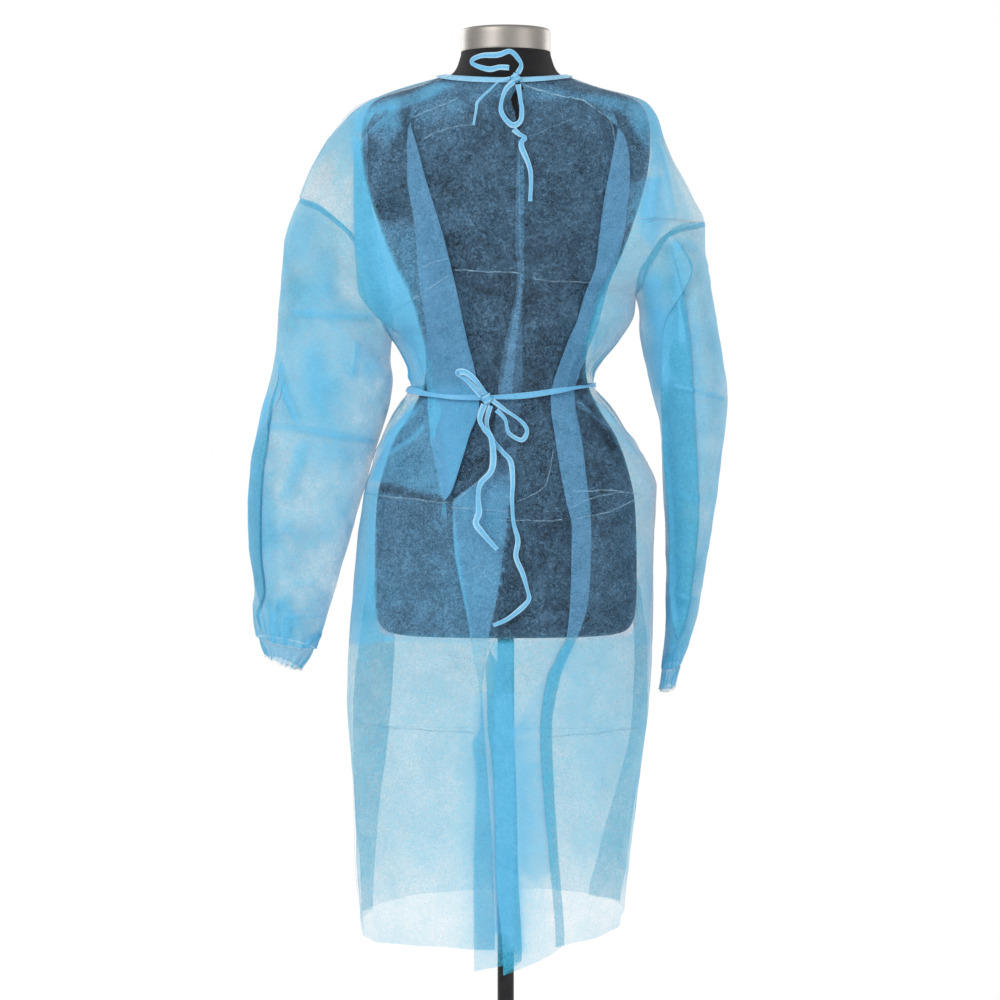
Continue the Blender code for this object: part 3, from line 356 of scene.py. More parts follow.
# Folds, where the cloth lies double: line in x and z, height out, half width, density
BACK_FOLDS = [
    ([(-104, 1117), (-118, 1097), (-139, 1078), (-166, 1049), (-178, 1030)], 2.6, 3.6, 0.75),
    ([(-100, 1088), (-115, 1068), (-139, 1052), (-160, 1041)], 2.4, 3.4, 0.7),
    ([(-112, 1112), (-128, 1086), (-150, 1060)], -1.6, 4.0, -0.2),
    ([(78, 1121), (100, 1105), (124, 1088), (153, 1063), (181, 1036)], 2.4, 3.2, 0.6),
    ([(97, 1126), (124, 1105), (153, 1073), (181, 1049)], 2.6, 3.4, 0.7),
    ([(104, 1112), (118, 1094), (132, 1070), (138, 1040)], -1.8, 4.0, -0.2),
    ([(-150, 1180), (-134, 1152), (-118, 1140)], 2.0, 4.0, 0.6),
    ([(-112, 1200), (-108, 1165), (-104, 1142)], 1.8, 3.4, 0.5),
    ([(120, 1200), (108, 1170), (100, 1146)], 1.8, 3.4, 0.5),
    ([(193, 1452), (190, 1400), (184, 1325)], 2.4, 4.5, 0.35),
    ([(194, 1446), (204, 1400), (213, 1352), (216, 1343)], 2.8, 4.5, 0.8),
    ([(193, 1446), (180, 1410), (160, 1360), (136, 1300), (118, 1255)], 2.2, 4.0, 0.5),
    ([(170, 1440), (168, 1400), (158, 1350)], 1.6, 7.0, 0.2),
    ([(-130, 1478), (-150, 1440), (-166, 1400), (-178, 1350)], 2.2, 8.0, 0.3),
    ([(-175, 1470), (-200, 1430), (-222, 1380)], 2.0, 9.0, 0.3),
    ([(-118, 1200), (-122, 1260), (-128, 1330)], 1.4, 9.0, 0.25),
    ([(-40, 1040), (-46, 1000), (-52, 960)], 1.2, 5.0, 0.15),
    ([(-185, 940), (-186, 800), (-182, 600), (-176, 470)], 1.2, 10.0, 0.3),
    ([(182, 960), (184, 800), (176, 640), (158, 460)], 1.4, 10.0, 0.3),
    ([(64, 800), (54, 720), (58, 600), (64, 470)], 1.0, 5.0, 0.25),
    ([(-12, 760), (-12, 600), (-12, 380)], 0.4, 42.0, 0.9),
    ([(-60, 1500), (-66, 1470), (-70, 1430)], 0.8, 12.0, 0.3),
    ([(-40, 1512), (0, 1508), (40, 1508), (90, 1504)], 0.5, 9.0, 0.25),
]
FRONT_FOLDS = [
    ([(-60, 1350), (-110, 1290), (-150, 1225)], 2.6, 9.0, 0.2),
    ([(60, 1350), (115, 1290), (150, 1235)], 2.6, 9.0, 0.2),
    ([(-40, 1112), (-66, 1030), (-92, 930)], 2.8, 6.0, 0.4),
    ([(16, 1112), (28, 1010), (34, 900)], 2.4, 6.0, 0.3),
    ([(78, 1115), (108, 1040), (136, 960)], 2.8, 6.0, 0.4),
    ([(-92, 1115), (-128, 1060), (-160, 1010)], 2.6, 5.0, 0.4),
    ([(-30, 1140), (-52, 1190), (-76, 1240)], 2.0, 5.0, 0.3),
    ([(40, 1140), (56, 1180), (84, 1226)], 2.0, 5.0, 0.3),
    ([(96, 1142), (116, 1180), (128, 1222)], 2.2, 5.0, 0.35),
    ([(-98, 1142), (-118, 1176), (-130, 1216)], 2.2, 5.0, 0.35),
    ([(-130, 1478), (-156, 1420), (-176, 1350)], 2.0, 9.0, 0.3),
    ([(130, 1470), (160, 1420), (186, 1350)], 2.0, 9.0, 0.3),
]
SLEEVE_LEFT_FOLDS = [
    ([(-306, 1140), (-316, 1090), (-325, 1036), (-328, 1000), (-329, 961), (-326, 911),
      (-321, 856)], 1.0, 9.0, 1.0),
    ([(-300, 1180), (-286, 1126), (-266, 1080)], 3.2, 3.4, 0.9),
    ([(-319, 1085), (-268, 1079), (-194, 1067), (-162, 1061)], 3.0, 4.2, 0.55),
    ([(-256, 1070), (-268, 1030), (-287, 980)], 2.4, 9.0, 0.6),
    ([(-288, 1229), (-240, 1226), (-160, 1221)], 2.6, 5.0, 0.55),
    ([(-190, 1195), (-192, 1170), (-199, 1143)], 2.0, 2.0, 0.9),
    ([(-226, 1150), (-232, 1110), (-236, 1090)], 1.8, 12.0, 0.35),
    ([(-240, 1200), (-246, 1150), (-250, 1100)], 1.2, 14.0, 0.3),
    ([(-300, 852), (-300, 820), (-296, 786)], 2.2, 3.0, 1.2),
    ([(-283, 842), (-282, 820), (-286, 796)], 2.0, 3.6, 0.9),
    ([(-240, 814), (-262, 800), (-288, 782)], 2.4, 3.2, 0.9),
    ([(-286, 838), (-262, 838), (-236, 838)], 1.2, 2.4, 0.4),
    ([(-296, 862), (-280, 846), (-268, 822)], 1.6, 7.0, 0.6),
    ([(-224, 1100), (-200, 1020), (-214, 950)], 1.0, 10.0, 0.2),
    ([(-290, 960), (-262, 936), (-236, 930)], 1.4, 7.0, 0.25),
    ([(-300, 900), (-270, 884), (-240, 880)], 1.2, 6.0, 0.25),
]
SLEEVE_RIGHT_FOLDS = [
    ([(186, 1290), (196, 1200), (203, 1116)], 1.2, 12.0, 0.75),
    ([(210, 1137), (250, 1126), (292, 1114)], 2.2, 2.6, 0.7),
    ([(206, 1314), (232, 1316), (258, 1312)], 1.6, 5.0, 0.35),
    ([(208, 872), (236, 860), (256, 862)], 1.6, 3.6, 0.5),
    ([(216, 1330), (222, 1260), (226, 1180)], 1.2, 6.0, 0.5),
    ([(209, 1090), (212, 940), (210, 800)], 0.8, 5.0, 0.45),
    ([(262, 1280), (272, 1190), (282, 1120)], 1.0, 12.0, 0.2),
    ([(280, 1060), (268, 960), (250, 860)], 1.0, 8.0, 0.35),
    ([(214, 1000), (240, 990), (270, 994)], 1.2, 5.0, 0.25),
    ([(212, 800), (224, 786), (232, 790)], 1.0, 3.0, 0.5),
]

# Zones of the sleeves where the cloth is denser or thinner: corners in x and z, amount, softness
SLEEVE_LEFT_ZONES = [
    ([(-317, 1374), (-229, 1368), (-222, 1257), (-294, 1244), (-317, 1218)], 0.05, 14.0),
    ([(-322, 1023), (-304, 1023), (-299, 867), (-312, 841), (-328, 906)], 0.16, 5.0),
    ([(-317, 854), (-283, 854), (-278, 802), (-307, 789)], 0.12, 4.0),
    ([(-209, 1400), (-187, 1374), (-187, 1244), (-222, 1244), (-222, 1348)], -0.14, 9.0),
    ([(-268, 906), (-235, 932), (-229, 867), (-268, 854)], -0.06, 12.0),
    ([(-300, 1114), (-268, 1075), (-281, 984), (-309, 1010)], -0.05, 12.0),
    ([(-215, 1145), (-165, 1145), (-165, 1085), (-210, 1080)], -0.1, 10.0),
]
SLEEVE_RIGHT_ZONES = [
    ([(205, 1322), (239, 1322), (242, 1088), (255, 958), (252, 854), (211, 828), (205, 1049)],
     0.1, 6.0),
    ([(205, 854), (252, 854), (221, 737), (203, 737)], 0.2, 6.0),
    ([(239, 1335), (263, 1309), (289, 1114), (260, 1088)], -0.02, 8.0),
]


def smooth_values(heights, values, z):
    """Values at z on a smooth curve through rows that never passes the rows' own values."""
    heights, values = np.asarray(heights, float), np.asarray(values, float)
    step = np.diff(heights)
    slope = np.diff(values, axis=0) / step.reshape(-1, *[1] * (values.ndim - 1))
    tangent = np.zeros_like(values)
    product, total = slope[:-1] * slope[1:], slope[:-1] + slope[1:]
    safe = np.where(total == 0, 1, total)
    tangent[1:-1] = np.where(product > 0, 2 * product / safe, 0)
    z = np.clip(z, heights[0], heights[-1])
    i = np.clip(np.searchsorted(heights, z, side="right") - 1, 0, len(step) - 1)
    t, width = (z - heights[i]) / step[i], step[i]
    if values.ndim > 1:
        shape = np.shape(t) + (1,) * (values.ndim - 1)
        t, width = np.reshape(t, shape), np.reshape(width, shape)
    return (
        values[i] * (2 * t**3 - 3 * t**2 + 1)
        + tangent[i] * width * (t**3 - 2 * t**2 + t)
        + values[i + 1] * (3 * t**2 - 2 * t**3)
        + tangent[i + 1] * width * (t**3 - t**2)
    )


def at(tab, column, z):
    return smooth_values(tab["z"], tab[column], z)


def soft_step(low, high, value):
    """0 below low and 1 above high, with a soft rise between them."""
    t = np.clip((value - low) / (high - low), 0, 1)
    return t * t * (3 - 2 * t)


def unit(vectors):
    return vectors / np.linalg.norm(vectors, axis=-1, keepdims=True)


def superellipse(centre, half, back, front, power, angle):
    """Points of rings, the angle counted from the back over the right to the front."""
    s, c = np.sin(angle), np.cos(angle)
    depth = np.where(c >= 0, back, front)
    x = centre + half * np.sign(s) * np.abs(s) ** (2 / power)
    return x, -depth * np.sign(c) * np.abs(c) ** (2 / power)


def body_span(z):
    left, right = at(BODY, "left", z), at(BODY, "right", z)
    return (left + right) / 2, (right - left) / 2


def body_point(z, angle):
    centre, half = body_span(z)
    x, y = superellipse(
        centre, half, at(BODY, "back", z), at(BODY, "front", z), at(BODY, "power", z), angle
    )
    return np.stack(np.broadcast_arrays(x, y, z), axis=-1).astype(float)


def lifted(z, angle, lift):
    """Points of the gown's rings moved out by lift, and lowered near the neckline."""
    share = np.clip((z - NECK_SLOPE_FROM) / (NECK_TOP - NECK_SLOPE_FROM), 0, 1)
    c = np.cos(angle)
    z = z - np.where(c > 0, NECK_FALL_BACK, NECK_FALL_FRONT) * c * c * share**1.5
    across = body_point(z, angle + 0.02) - body_point(z, angle - 0.02)
    out = unit(np.cross(across, body_point(z + 1, angle) - body_point(z - 1, angle)))
    return body_point(z, angle) + out * np.expand_dims(lift, -1), out


def angle_at(z, x, front=False):
    """Angle of the ring's point at x, on its back or on its front."""
    centre, half = body_span(z)
    share = (x - centre) / half
    s = math.copysign(min(abs(share), 1) ** (at(BODY, "power", z) / 2), share)
    return math.pi - math.asin(s) if front else math.asin(s)


class Side:
    """A stop on a seam of the panel, given by its angle and not by its x."""

    def __init__(self, angle):
        self.angle = angle


def spread(stops, counts):
    """Points between stops that are (angle, lift, hem) each, counts[i] steps from stop i."""
    path = [stops[0]]
    for (a, b), steps in zip(zip(stops, stops[1:]), counts):
        for k in range(1, steps + 1):
            path.append(tuple(p + (q - p) * k / steps for p, q in zip(a, b)))
    return path


def pleat_stops(pleat, z, base=0.0, hem=0.0, hem_under=None):
    """The corners of a pleat, its two folds rounded, as (x, lift, hem) from the top layer in."""
    lift, fold, hidden = (float(at(pleat, name, z)) for name in ("lift", "fold", "hidden"))
    turn = FOLD_ROUND * lift * (1 if fold > hidden else -1)
    apart = COLUMN_APART * (1 - lift) * (1 if hidden > fold else -1)
    hem_under = hem if hem_under is None else hem_under
    return [
        (fold - apart, base + TOP * lift, hem),
        (fold + turn, base + (TOP + MIDDLE_OUT) / 2 * lift, hem),
        (fold + apart, base + MIDDLE_OUT * lift, hem),
        (hidden - apart, base + MIDDLE_IN * lift, hem_under),
        (hidden - turn, base + (MIDDLE_IN + UNDER) / 2 * lift, hem_under),
        (hidden + apart, base + UNDER * lift, hem_under),
    ]


def armhole(sign):
    if sign < 0:
        return UNDERARM_LEFT, ARM_TOP_LEFT, ARMHOLE_LEFT
    return UNDERARM_RIGHT, ARM_TOP_RIGHT, ARMHOLE_RIGHT


def seam_side(z, sign, front=False):
    """Where a panel ends at its side: on the side or shoulder seam, or at the armhole."""
    low, high, hole = armhole(sign)
    if low < z < high:
        return float(at(hole, "x", z))
    if front:
        return Side(math.pi / 2 if sign > 0 else 1.5 * math.pi)
    return Side(sign * math.pi / 2)


def back_left_stops(z):
    """From the left side to the free edge: the arm fold, then the back pleat."""
    return (
        [(seam_side(z, -1), 0, HEM_SIDE[-1])] + pleat_stops(ARM_FOLD, z)[::-1]
        + pleat_stops(BACK_LEFT_PLEAT, z) + [(float(at(EDGE_LEFT, "x", z)), 0, HEM_EDGE_LEFT)]
    )


def back_right_stops(z):
    """From the right side to the free edge: the back pleat, then the skirt's own pleat."""
    over = LAP * min(max((1492 - z) / 30, 0), 1)
    return (
        [(seam_side(z, 1), 0, HEM_SIDE[1])] + pleat_stops(BACK_RIGHT_PLEAT, z)
        + pleat_stops(SKIRT_PLEAT, z, over, HEM_SKIRT_OUT, HEM_SKIRT_IN)
        + [(float(at(EDGE_RIGHT, "x", z)), over, HEM_EDGE_RIGHT)]
    )


def front_stops(z):
    """From the right side seam over the front to the left side seam."""
    return (
        [(seam_side(z, 1, True), 0, HEM_SIDE[1])]
        + pleat_stops(FRONT_RIGHT_FOLD, z, hem=HEM_FRONT_RIGHT)[::-1]
        + [(0, 0, HEM_FRONT_MIDDLE)] + pleat_stops(FRONT_LEFT_FOLD, z, hem=HEM_FRONT_LEFT)
        + [(seam_side(z, -1, True), 0, HEM_SIDE[-1])]
    )


# Steps between a panel's stops, from its first stop on
COUNTS_LEFT = (28, 1, 1, 5, 1, 1, 30, 1, 1, 7, 1, 1, 40)
COUNTS_RIGHT = (42, 1, 1, 7, 1, 1, 34, 1, 1, 6, 1, 1, 16)
COUNTS_FRONT = (18, 1, 1, 8, 1, 1, 58, 58, 1, 1, 8, 1, 1, 18)


def row_heights():
    """Heights of a panel's rows, with the armholes' ends and the neckline among them."""
    marks = [HEM, UNDERARM_LEFT, UNDERARM_RIGHT, ARM_TOP_RIGHT, ARM_TOP_LEFT, NECK_ROWS_FROM,
             NECK_TOP]
    rows = [HEM]
    for a, b in zip(marks, marks[1:]):
        steps = max(round((b - a) / (ROW_STEP if b <= NECK_ROWS_FROM else NECK_STEP)), 1)
        rows += [a + (b - a) * k / steps for k in range(1, steps + 1)]
    return rows


def hem_share(z):
    """How much of the hem's own fall a height takes part in, 1 at the hem."""
    return np.clip((HEM_FALL_FROM - z) / (HEM_FALL_FROM - HEM), 0, None) ** 1.5


def panel_grid(stops_at, counts, front=False):
    """A panel's points, rows from the hem up, and the ways out of the body at them."""
    rows = row_heights()
    angle, lift, hem = np.moveaxis(np.array([
        spread([
            (x.angle if isinstance(x, Side) else angle_at(z, x, front), lift, hem)
            for x, lift, hem in stops_at(z)
        ], counts) for z in rows
    ]), -1, 0)
    z = np.array(rows)[:, None] + np.zeros_like(angle)
    grid, out = lifted(z + hem * hem_share(z), angle, lift)
    return grid, out, angle


def normals(grid):
    """Unit normals of a tube's grid, facing the way the columns cross the rows."""
    padded = np.concatenate([grid[:, -1:], grid, grid[:, :1]], axis=1)
    out = np.cross(np.gradient(padded, axis=1)[:, 1:-1], np.gradient(grid, axis=0))
    size = np.linalg.norm(out, axis=-1, keepdims=True)
    return out / np.where(size < 1e-9, 1, size)


class Waves:
    """A sum of fixed waves in all directions, from -1 to 1 or so, that stands in for noise."""

    def __init__(self, seed, length, count=22, stretch=(1, 1, 1)):
        rng = np.random.default_rng(seed)
        way = unit(rng.normal(size=(count, 3)))
        self.way = way * (2 * math.pi / length) * rng.uniform(0.6, 1.7, (count, 1)) / stretch
        self.phase = rng.uniform(0, 2 * math.pi, count)
        self.scale = 1.3 / math.sqrt(count)

    def __call__(self, points):
        total = np.zeros(points.shape[:-1])
        for way, phase in zip(self.way, self.phase):
            total += np.sin(points @ way + phase)
        return total * self.scale


BROAD = Waves(3, 210, stretch=(1, 1, 1.6))
CRUMPLE = Waves(11, 120)
CRUMPLE_FINE = Waves(17, 52)
BLOTCHES = Waves(23, 130, 26), Waves(29, 62, 26), Waves(31, 27, 26, stretch=(1, 1, 1.4))


def clouded(points):
    """Uneven density of the cloth, as clouds of several sizes."""
    broad, middle, small = (waves(points) for waves in BLOTCHES)
    return 0.5 * broad + 0.6 * middle + 0.7 * np.clip(small + 0.5 * middle, -0.5, 1.2)


def crumple(points, amount=1.0):
    """Soft waves and the thin ridges that cloth keeps from its packing and from handling."""
    ridge = 1 - np.abs(CRUMPLE(points)) ** 0.8
    fine = 1 - np.abs(CRUMPLE_FINE(points)) ** 0.8
    return amount * (1.6 * BROAD(points) + 0.9 * (ridge - 0.5) + 0.35 * (fine - 0.5))


# Zones of the back where the cloth is denser, and one that paints a sheen: corners in x and z,
# amount, softness. The second list counts only beside the form.
BACK_ZONES = [
    ([(-167, 1001), (-68, 985), (-43, 812), (-154, 812), (-178, 862), (-174, 938)], 0.22, 3.9),
    ([(-172, 1014), (-144, 1083), (-99, 1123), (-83, 1065), (-72, 991)], 0.36, 6.5),
    ([(100, 1027), (169, 1001), (169, 913), (164, 812), (106, 812), (97, 913)], 0.05, 5.2),
    # Painted sheen on the left shoulder: made denser so that it shows lighter over the dark form,
    # not more cloth
    ([(-178, 1479), (-137, 1489), (-131, 1459), (-152, 1439), (-177, 1454)], 0.2, 7.8),
    ([(-197, 1484), (-129, 1504), (-83, 1522), (-68, 1517), (-96, 1499), (-129, 1487),
      (-169, 1479), (-182, 1456), (-195, 1459)], 0.3, 3.9),
    ([(87, 1504), (134, 1504), (179, 1497), (200, 1454), (177, 1431), (149, 1479), (124, 1489)],
     0.3, 6.5),
    ([(68, 805), (176, 812), (176, 609), (119, 622), (68, 704)], 0.16, 20.8),
    ([(53, 660), (169, 685), (157, 508), (58, 534)], 0.07, 23.4),
    ([(71, 809), (91, 809), (57, 749), (51, 695), (8, 695), (30, 738)], 0.2, 5.2),
    ([(0, 692), (49, 692), (53, 609), (58, 521), (37, 508), (18, 524), (5, 508), (-3, 609)],
     0.2, 7.0),
    ([(0, 508), (18, 524), (23, 422), (0, 422)], 0.24, 5.2),
    ([(-40, 749), (8, 749), (9, 422), (-40, 422)], 0.1, 2.6),
    ([(-15, 692), (9, 704), (9, 445), (-13, 445)], 0.36, 3.9),
    ([(-15, 812), (10, 812), (10, 692), (-15, 685)], 0.42, 3.9),
    ([(-46, 1517), (68, 1515), (94, 1499), (18, 1494), (-46, 1499)], 0.1, 6.5),
    ([(16, 1430), (23, 1430), (23, 1286), (24, 1264), (18, 1228), (13, 1191), (10, 1155),
      (8, 1124), (-7, 1124), (-2, 1155), (3, 1191), (11, 1228), (17, 1264), (21, 1286),
      (17, 1310)], 0.2, 1.6),
    ([(-182, 1500), (-140, 1505), (-135, 1462), (-176, 1458)], 0.2, 8.0),
    ([(160, 1500), (195, 1490), (195, 1455), (160, 1455)], 0.12, 8.0),
    ([(-112, 1520), (-45, 1524), (-28, 1490), (-88, 1464), (-116, 1464)], 0.13, 14.0),
    ([(-170, 1341), (-106, 1341), (-86, 1243), (-97, 1152), (-134, 1204), (-162, 1282)],
     0.26, 12.0),
    ([(150, 1395), (180, 1395), (178, 1340), (150, 1340)], 0.14, 5.0),
    ([(-200, 790), (-160, 790), (-160, 690), (-195, 690)], -0.06, 8.0),
    ([(18, 660), (52, 660), (50, 450), (18, 450)], 0.1, 6.0),
]
BESIDE_ZONES = [
    ([(-195, 1456), (-181, 1444), (-171, 1381), (-134, 1381), (-96, 1292), (-83, 1191),
      (-83, 1118), (-128, 1130), (-159, 1204), (-177, 1241), (-195, 1330)], 0.42, 3.9),
    ([(188, 1449), (205, 1431), (233, 1368), (245, 1340), (233, 1338), (205, 1322), (185, 1290),
      (169, 1252), (167, 1204), (114, 1134), (106, 1241), (119, 1353)], 0.22, 5.2),
    ([(-147, 1001), (-144, 812), (-204, 799), (-197, 963), (-182, 1014), (-134, 1083),
      (-121, 1115), (-104, 1110), (-134, 1065)], 0.3, 3.9),
    ([(131, 989), (144, 812), (185, 799), (191, 1001), (176, 1039), (131, 1102), (106, 1115),
      (119, 1065)], 0.12, 5.2),
    ([(-260, 1381), (-233, 1431), (-220, 1418), (-222, 1362), (-260, 1368)], -0.12, 6.5),
    ([(172, 1400), (200, 1400), (205, 1345), (185, 1310), (168, 1330)], 0.28, 6.0),
]
FRONT_ZONES = [
    ([(-185, 1180), (-120, 1190), (-150, 1330), (-200, 1330)], 0.14, 8.0),
    ([(185, 1180), (120, 1190), (150, 1330), (200, 1330)], 0.1, 8.0),
    ([(-205, 820), (-168, 820), (-168, 1000), (-205, 1000)], 0.2, 6.0),
    ([(-260, 400), (260, 400), (260, 440), (-260, 440)], -0.15, 34.0),
]


def fade_along(grid_flat, line):
    """Distance of points from a line in x and z, and how far along it they lie, from 0 to 1."""
    line = np.array(line, float)
    lengths = np.linalg.norm(np.diff(line, axis=0), axis=1)
    reach = np.concatenate([[0], np.cumsum(lengths)])
    best = np.full(grid_flat.shape[:-1], 1e9)
    place = np.zeros(best.shape)
    for k, (a, b) in enumerate(zip(line, line[1:])):
        way = b - a
        t = np.clip(((grid_flat - a) @ way) / (way @ way), 0, 1)
        gap = np.linalg.norm(grid_flat - a - t[..., None] * way, axis=-1)
        nearer = gap < best
        best = np.where(nearer, gap, best)
        place = np.where(nearer, (reach[k] + t * lengths[k]) / reach[-1], place)
    return best, place


def fold_relief(points, folds):
    """Height and density that folds add to points, each a soft ridge along its line."""
    height, dense = np.zeros(points.shape[:-1]), np.zeros(points.shape[:-1])
    for line, rise, width, thick in folds:
        gap, place = fade_along(points[..., (0, 2)], line)
        ends = soft_step(0, FOLD_FADE, place) * soft_step(0, FOLD_FADE, 1 - place)
        height += rise * (ends * np.exp(-((gap / width) ** 2)))
        dense += thick * ends * np.exp(-((gap / width) ** 4))
    return height, dense


def make_packing_creases(name, grids, lines, paint, front=False):
    """Thin crisp lines where the cloth was folded flat, laid on its outermost layer."""
    points = np.concatenate([grid.reshape(-1, 3) for grid in grids])
    away = -1 if front else 1
    parts = []
    for line, amount, width in lines:
        line = np.array(line, float)
        reach = np.concatenate([[0], np.cumsum(np.linalg.norm(np.diff(line, axis=0), axis=1))])
        steps = np.linspace(0, reach[-1], max(int(reach[-1] / 2.5), 4))
        flat = np.stack([smooth_values(reach, line[:, k], steps) for k in (0, 1)], axis=1)
        flat[:, 1] += 0.5 * np.sin(steps / 7 + amount * 40) + 0.3 * np.sin(steps / 2.6)
        close = np.abs(points[:, 2] - flat[:, 1].mean()) < np.ptp(flat[:, 1]) / 2 + 8
        near = points[close & (points[:, 1] * away < 0)]
        depth = []
        for x, z in flat:
            gap = (near[:, 0] - x) ** 2 + (near[:, 2] - z) ** 2
            depth.append((near[gap < max(gap.min() + 1, 12.0), 1] * away).min())
        depth = np.convolve(np.pad(depth, 2, mode="edge"), np.ones(5) / 5, mode="valid")
        depth = np.minimum(depth, depth.mean() + 40) - 0.5
        way = np.gradient(flat, axis=0)
        side = unit(np.stack([-way[:, 1], way[:, 0]], axis=1))
        share = np.linspace(0, 1, len(flat))
        ends = soft_step(0, 0.1, share) * soft_step(0, 0.1, 1 - share)
        strength = 0.85 * amount * ends * (0.75 + 0.25 * np.sin(share * 23 + amount * 9))
        across = np.array((-1, -0.45, 0, 0.45, 1.0))
        grid = np.empty((len(flat), 5, 3))
        reach = (across * width / 2)[None, :, None]
        grid[..., (0, 2)] = flat[:, None, :] + side[:, None, :] * reach
        grid[..., 1] = (depth[:, None] - 0.3 * (1 - across[None, :] ** 2)) * away
        parts.append((grid, strength[:, None] * (1 - np.abs(across[None, :]) ** 3)))
    return riding(joined_strips(name, parts, paint))


def joined_strips(name, parts, paint):
    """One mesh of several narrow grids, each given with its strength at each point."""
    faces, start = [], 0
    for grid, _ in parts:
        faces += quads(start + np.arange(grid[..., 0].size).reshape(grid.shape[:2]))
        start += grid[..., 0].size
    points = np.concatenate([grid.reshape(-1, 3) for grid, _ in parts])
    marks = {"strength": np.concatenate([amounts.ravel() for _, amounts in parts]),
             "off": away_from_form(points)}
    return new_piece(name, points, faces, paint, marks)


def away_from_form(points):
    """0 where the form is behind the cloth, 1 beside it and below it, where light comes through."""
    z = points[..., 2]
    beside = np.abs(points[..., 0]) - at(FORM, "half", z)
    return np.maximum(soft_step(-7, -1, beside), soft_step(822, 812, z))


def zones(points, table_of_zones):
    """Sum of the amounts of the zones that points lie in, each a polygon with a soft edge."""
    x, z = points[..., 0], points[..., 2]
    total = np.zeros(x.shape)
    for corners, amount, soft in table_of_zones:
        inside, gap = np.zeros(x.shape, bool), np.full(x.shape, 1e9)
        for (ax, az), (bx, bz) in zip(corners, corners[1:] + corners[:1]):
            t = ((x - ax) * (bx - ax) + (z - az) * (bz - az)) / ((bx - ax) ** 2 + (bz - az) ** 2)
            t = np.clip(t, 0, 1)
            gap = np.minimum(gap, np.hypot(x - ax - t * (bx - ax), z - az - t * (bz - az)))
            if az != bz:
                crossing = ax + (z - az) * (bx - ax) / (bz - az)
                inside ^= ((az > z) != (bz > z)) & (x < crossing)
        total += amount * soft_step(-soft, soft, np.where(inside, gap, -gap))
    return total


# Share of the light that the cloth stops, on the form and away from it, by height
COVER = table("z form free", [
    (380, 0.21, 0.30), (440, 0.21, 0.29), (460, 0.21, 0.25), (500, 0.21, 0.30), (560, 0.21, 0.35),
    (700, 0.21, 0.37), (800, 0.21, 0.40), (900, 0.21, 0.42), (1150, 0.20, 0.40),
    (1300, 0.21, 0.36), (1390, 0.24, 0.34), (1440, 0.25, 0.5), (1490, 0.27, 0.66),
    (1533, 0.28, 0.7),
])
FOLD_COVER = 0.29
SLEEVE_COVER = table("z share", [
    (740, 0.62), (800, 0.56), (850, 0.50), (1000, 0.47), (1060, 0.52), (1100, 0.58),
    (1290, 0.57), (1345, 0.52),
])


def overlap(points):
    """1 where the two back panels lie over each other below the waist."""
    x, z = points[..., 0], points[..., 2]
    left, right = at(EDGE_RIGHT, "x", z), at(EDGE_LEFT, "x", z)
    return soft_step(-2, 1, x - left) * soft_step(-2, 1, right - x) * soft_step(1050, 1000, z)


def by_place(cover, z, off):
    """A table's share by height, between its values on the form and beside it."""
    return at(cover, "form", z) * (1 - off) + at(cover, "free", z) * off


def marks_of(dense, off, painted_highlight=0.0):
    """What the cloth's material reads at each point, its painted highlight among them."""
    return {"painted_highlight": 0 * dense + painted_highlight, "dense": dense, "off": 0 * dense + off}


def panel_marks(grid, dense, areas, beside):
    off = away_from_form(grid)
    cover = by_place(COVER, grid[..., 2], off)
    cover = cover + FOLD_COVER * dense + 0.022 * clouded(grid)
    cover = cover + zones(grid, areas) + off * zones(grid, beside)
    return marks_of(np.clip(cover, 0.06, 0.95), off)


def clear_of_form(points, margin=2.2):
    """Moves points out of the form, so that the cloth lies on it."""
    z = points[..., 2]
    inside = (z > FORM["z"][0]) & (z < FORM_TOP)
    half, power = at(FORM, "half", z) + margin, at(FORM, "power", z)
    depth = np.where(points[..., 1] < 0, at(FORM, "back", z), at(FORM, "front", z)) + margin
    far = (np.abs(points[..., 0]) / half) ** power + (np.abs(points[..., 1]) / depth) ** power
    scale = np.where(inside & (far < 1), np.maximum(far, 1e-6) ** (-1 / power), 1.0)
    moved = points.copy()
    moved[..., :2] *= scale[..., None]
    return moved


def quads(number, closed=False):
    """Faces of a grid of point numbers, its last column joined to its first if it is closed."""
    here = number if closed else number[:, :-1]
    there = np.roll(number, -1, axis=1) if closed else number[:, 1:]
    faces = np.stack([here[:-1], there[:-1], there[1:], here[1:]], axis=-1)
    return faces.reshape(-1, 4).tolist()


def new_piece(name, points, faces, paint, marks=None, ending=""):
    """A smooth mesh of millimetre points, with the marks that its material reads."""
    mesh = bpy.data.meshes.new(name)
    mesh.from_pydata((np.asarray(points, float) * MM).tolist(), [], faces)
    mesh.update()
    mesh.shade_smooth()
    for mark, values in (marks or {}).items():
        layer = mesh.attributes.new(mark, "FLOAT", "POINT")
        layer.data.foreach_set("value", np.ascontiguousarray(values, np.float32).ravel())
    mesh.materials.append(paint)
    thing = bpy.data.objects.new(name + ending, mesh)
    bpy.context.scene.collection.objects.link(thing)
    return thing


def mesh_object(name, grid, paint, closed=False, marks=None):
    rows, columns = grid.shape[:2]
    faces = quads(np.arange(rows * columns).reshape(rows, columns), closed)
    return new_piece(name, grid.reshape(-1, 3), faces, paint, marks, "_looks")


def riding(thing):
    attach(thing, "root")
    return thing


def dress(thing, nodes):
    """The piece takes the place of CAD nodes, which it hides."""
    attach(thing, "root")
    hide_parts(*nodes)
    return thing


# Camera, at the photograph's own place
CAMERA_PLACE, CAMERA_PITCH, CAMERA_LENS = (-0.0075, -3.6, 1.153), 2.67, 99.4


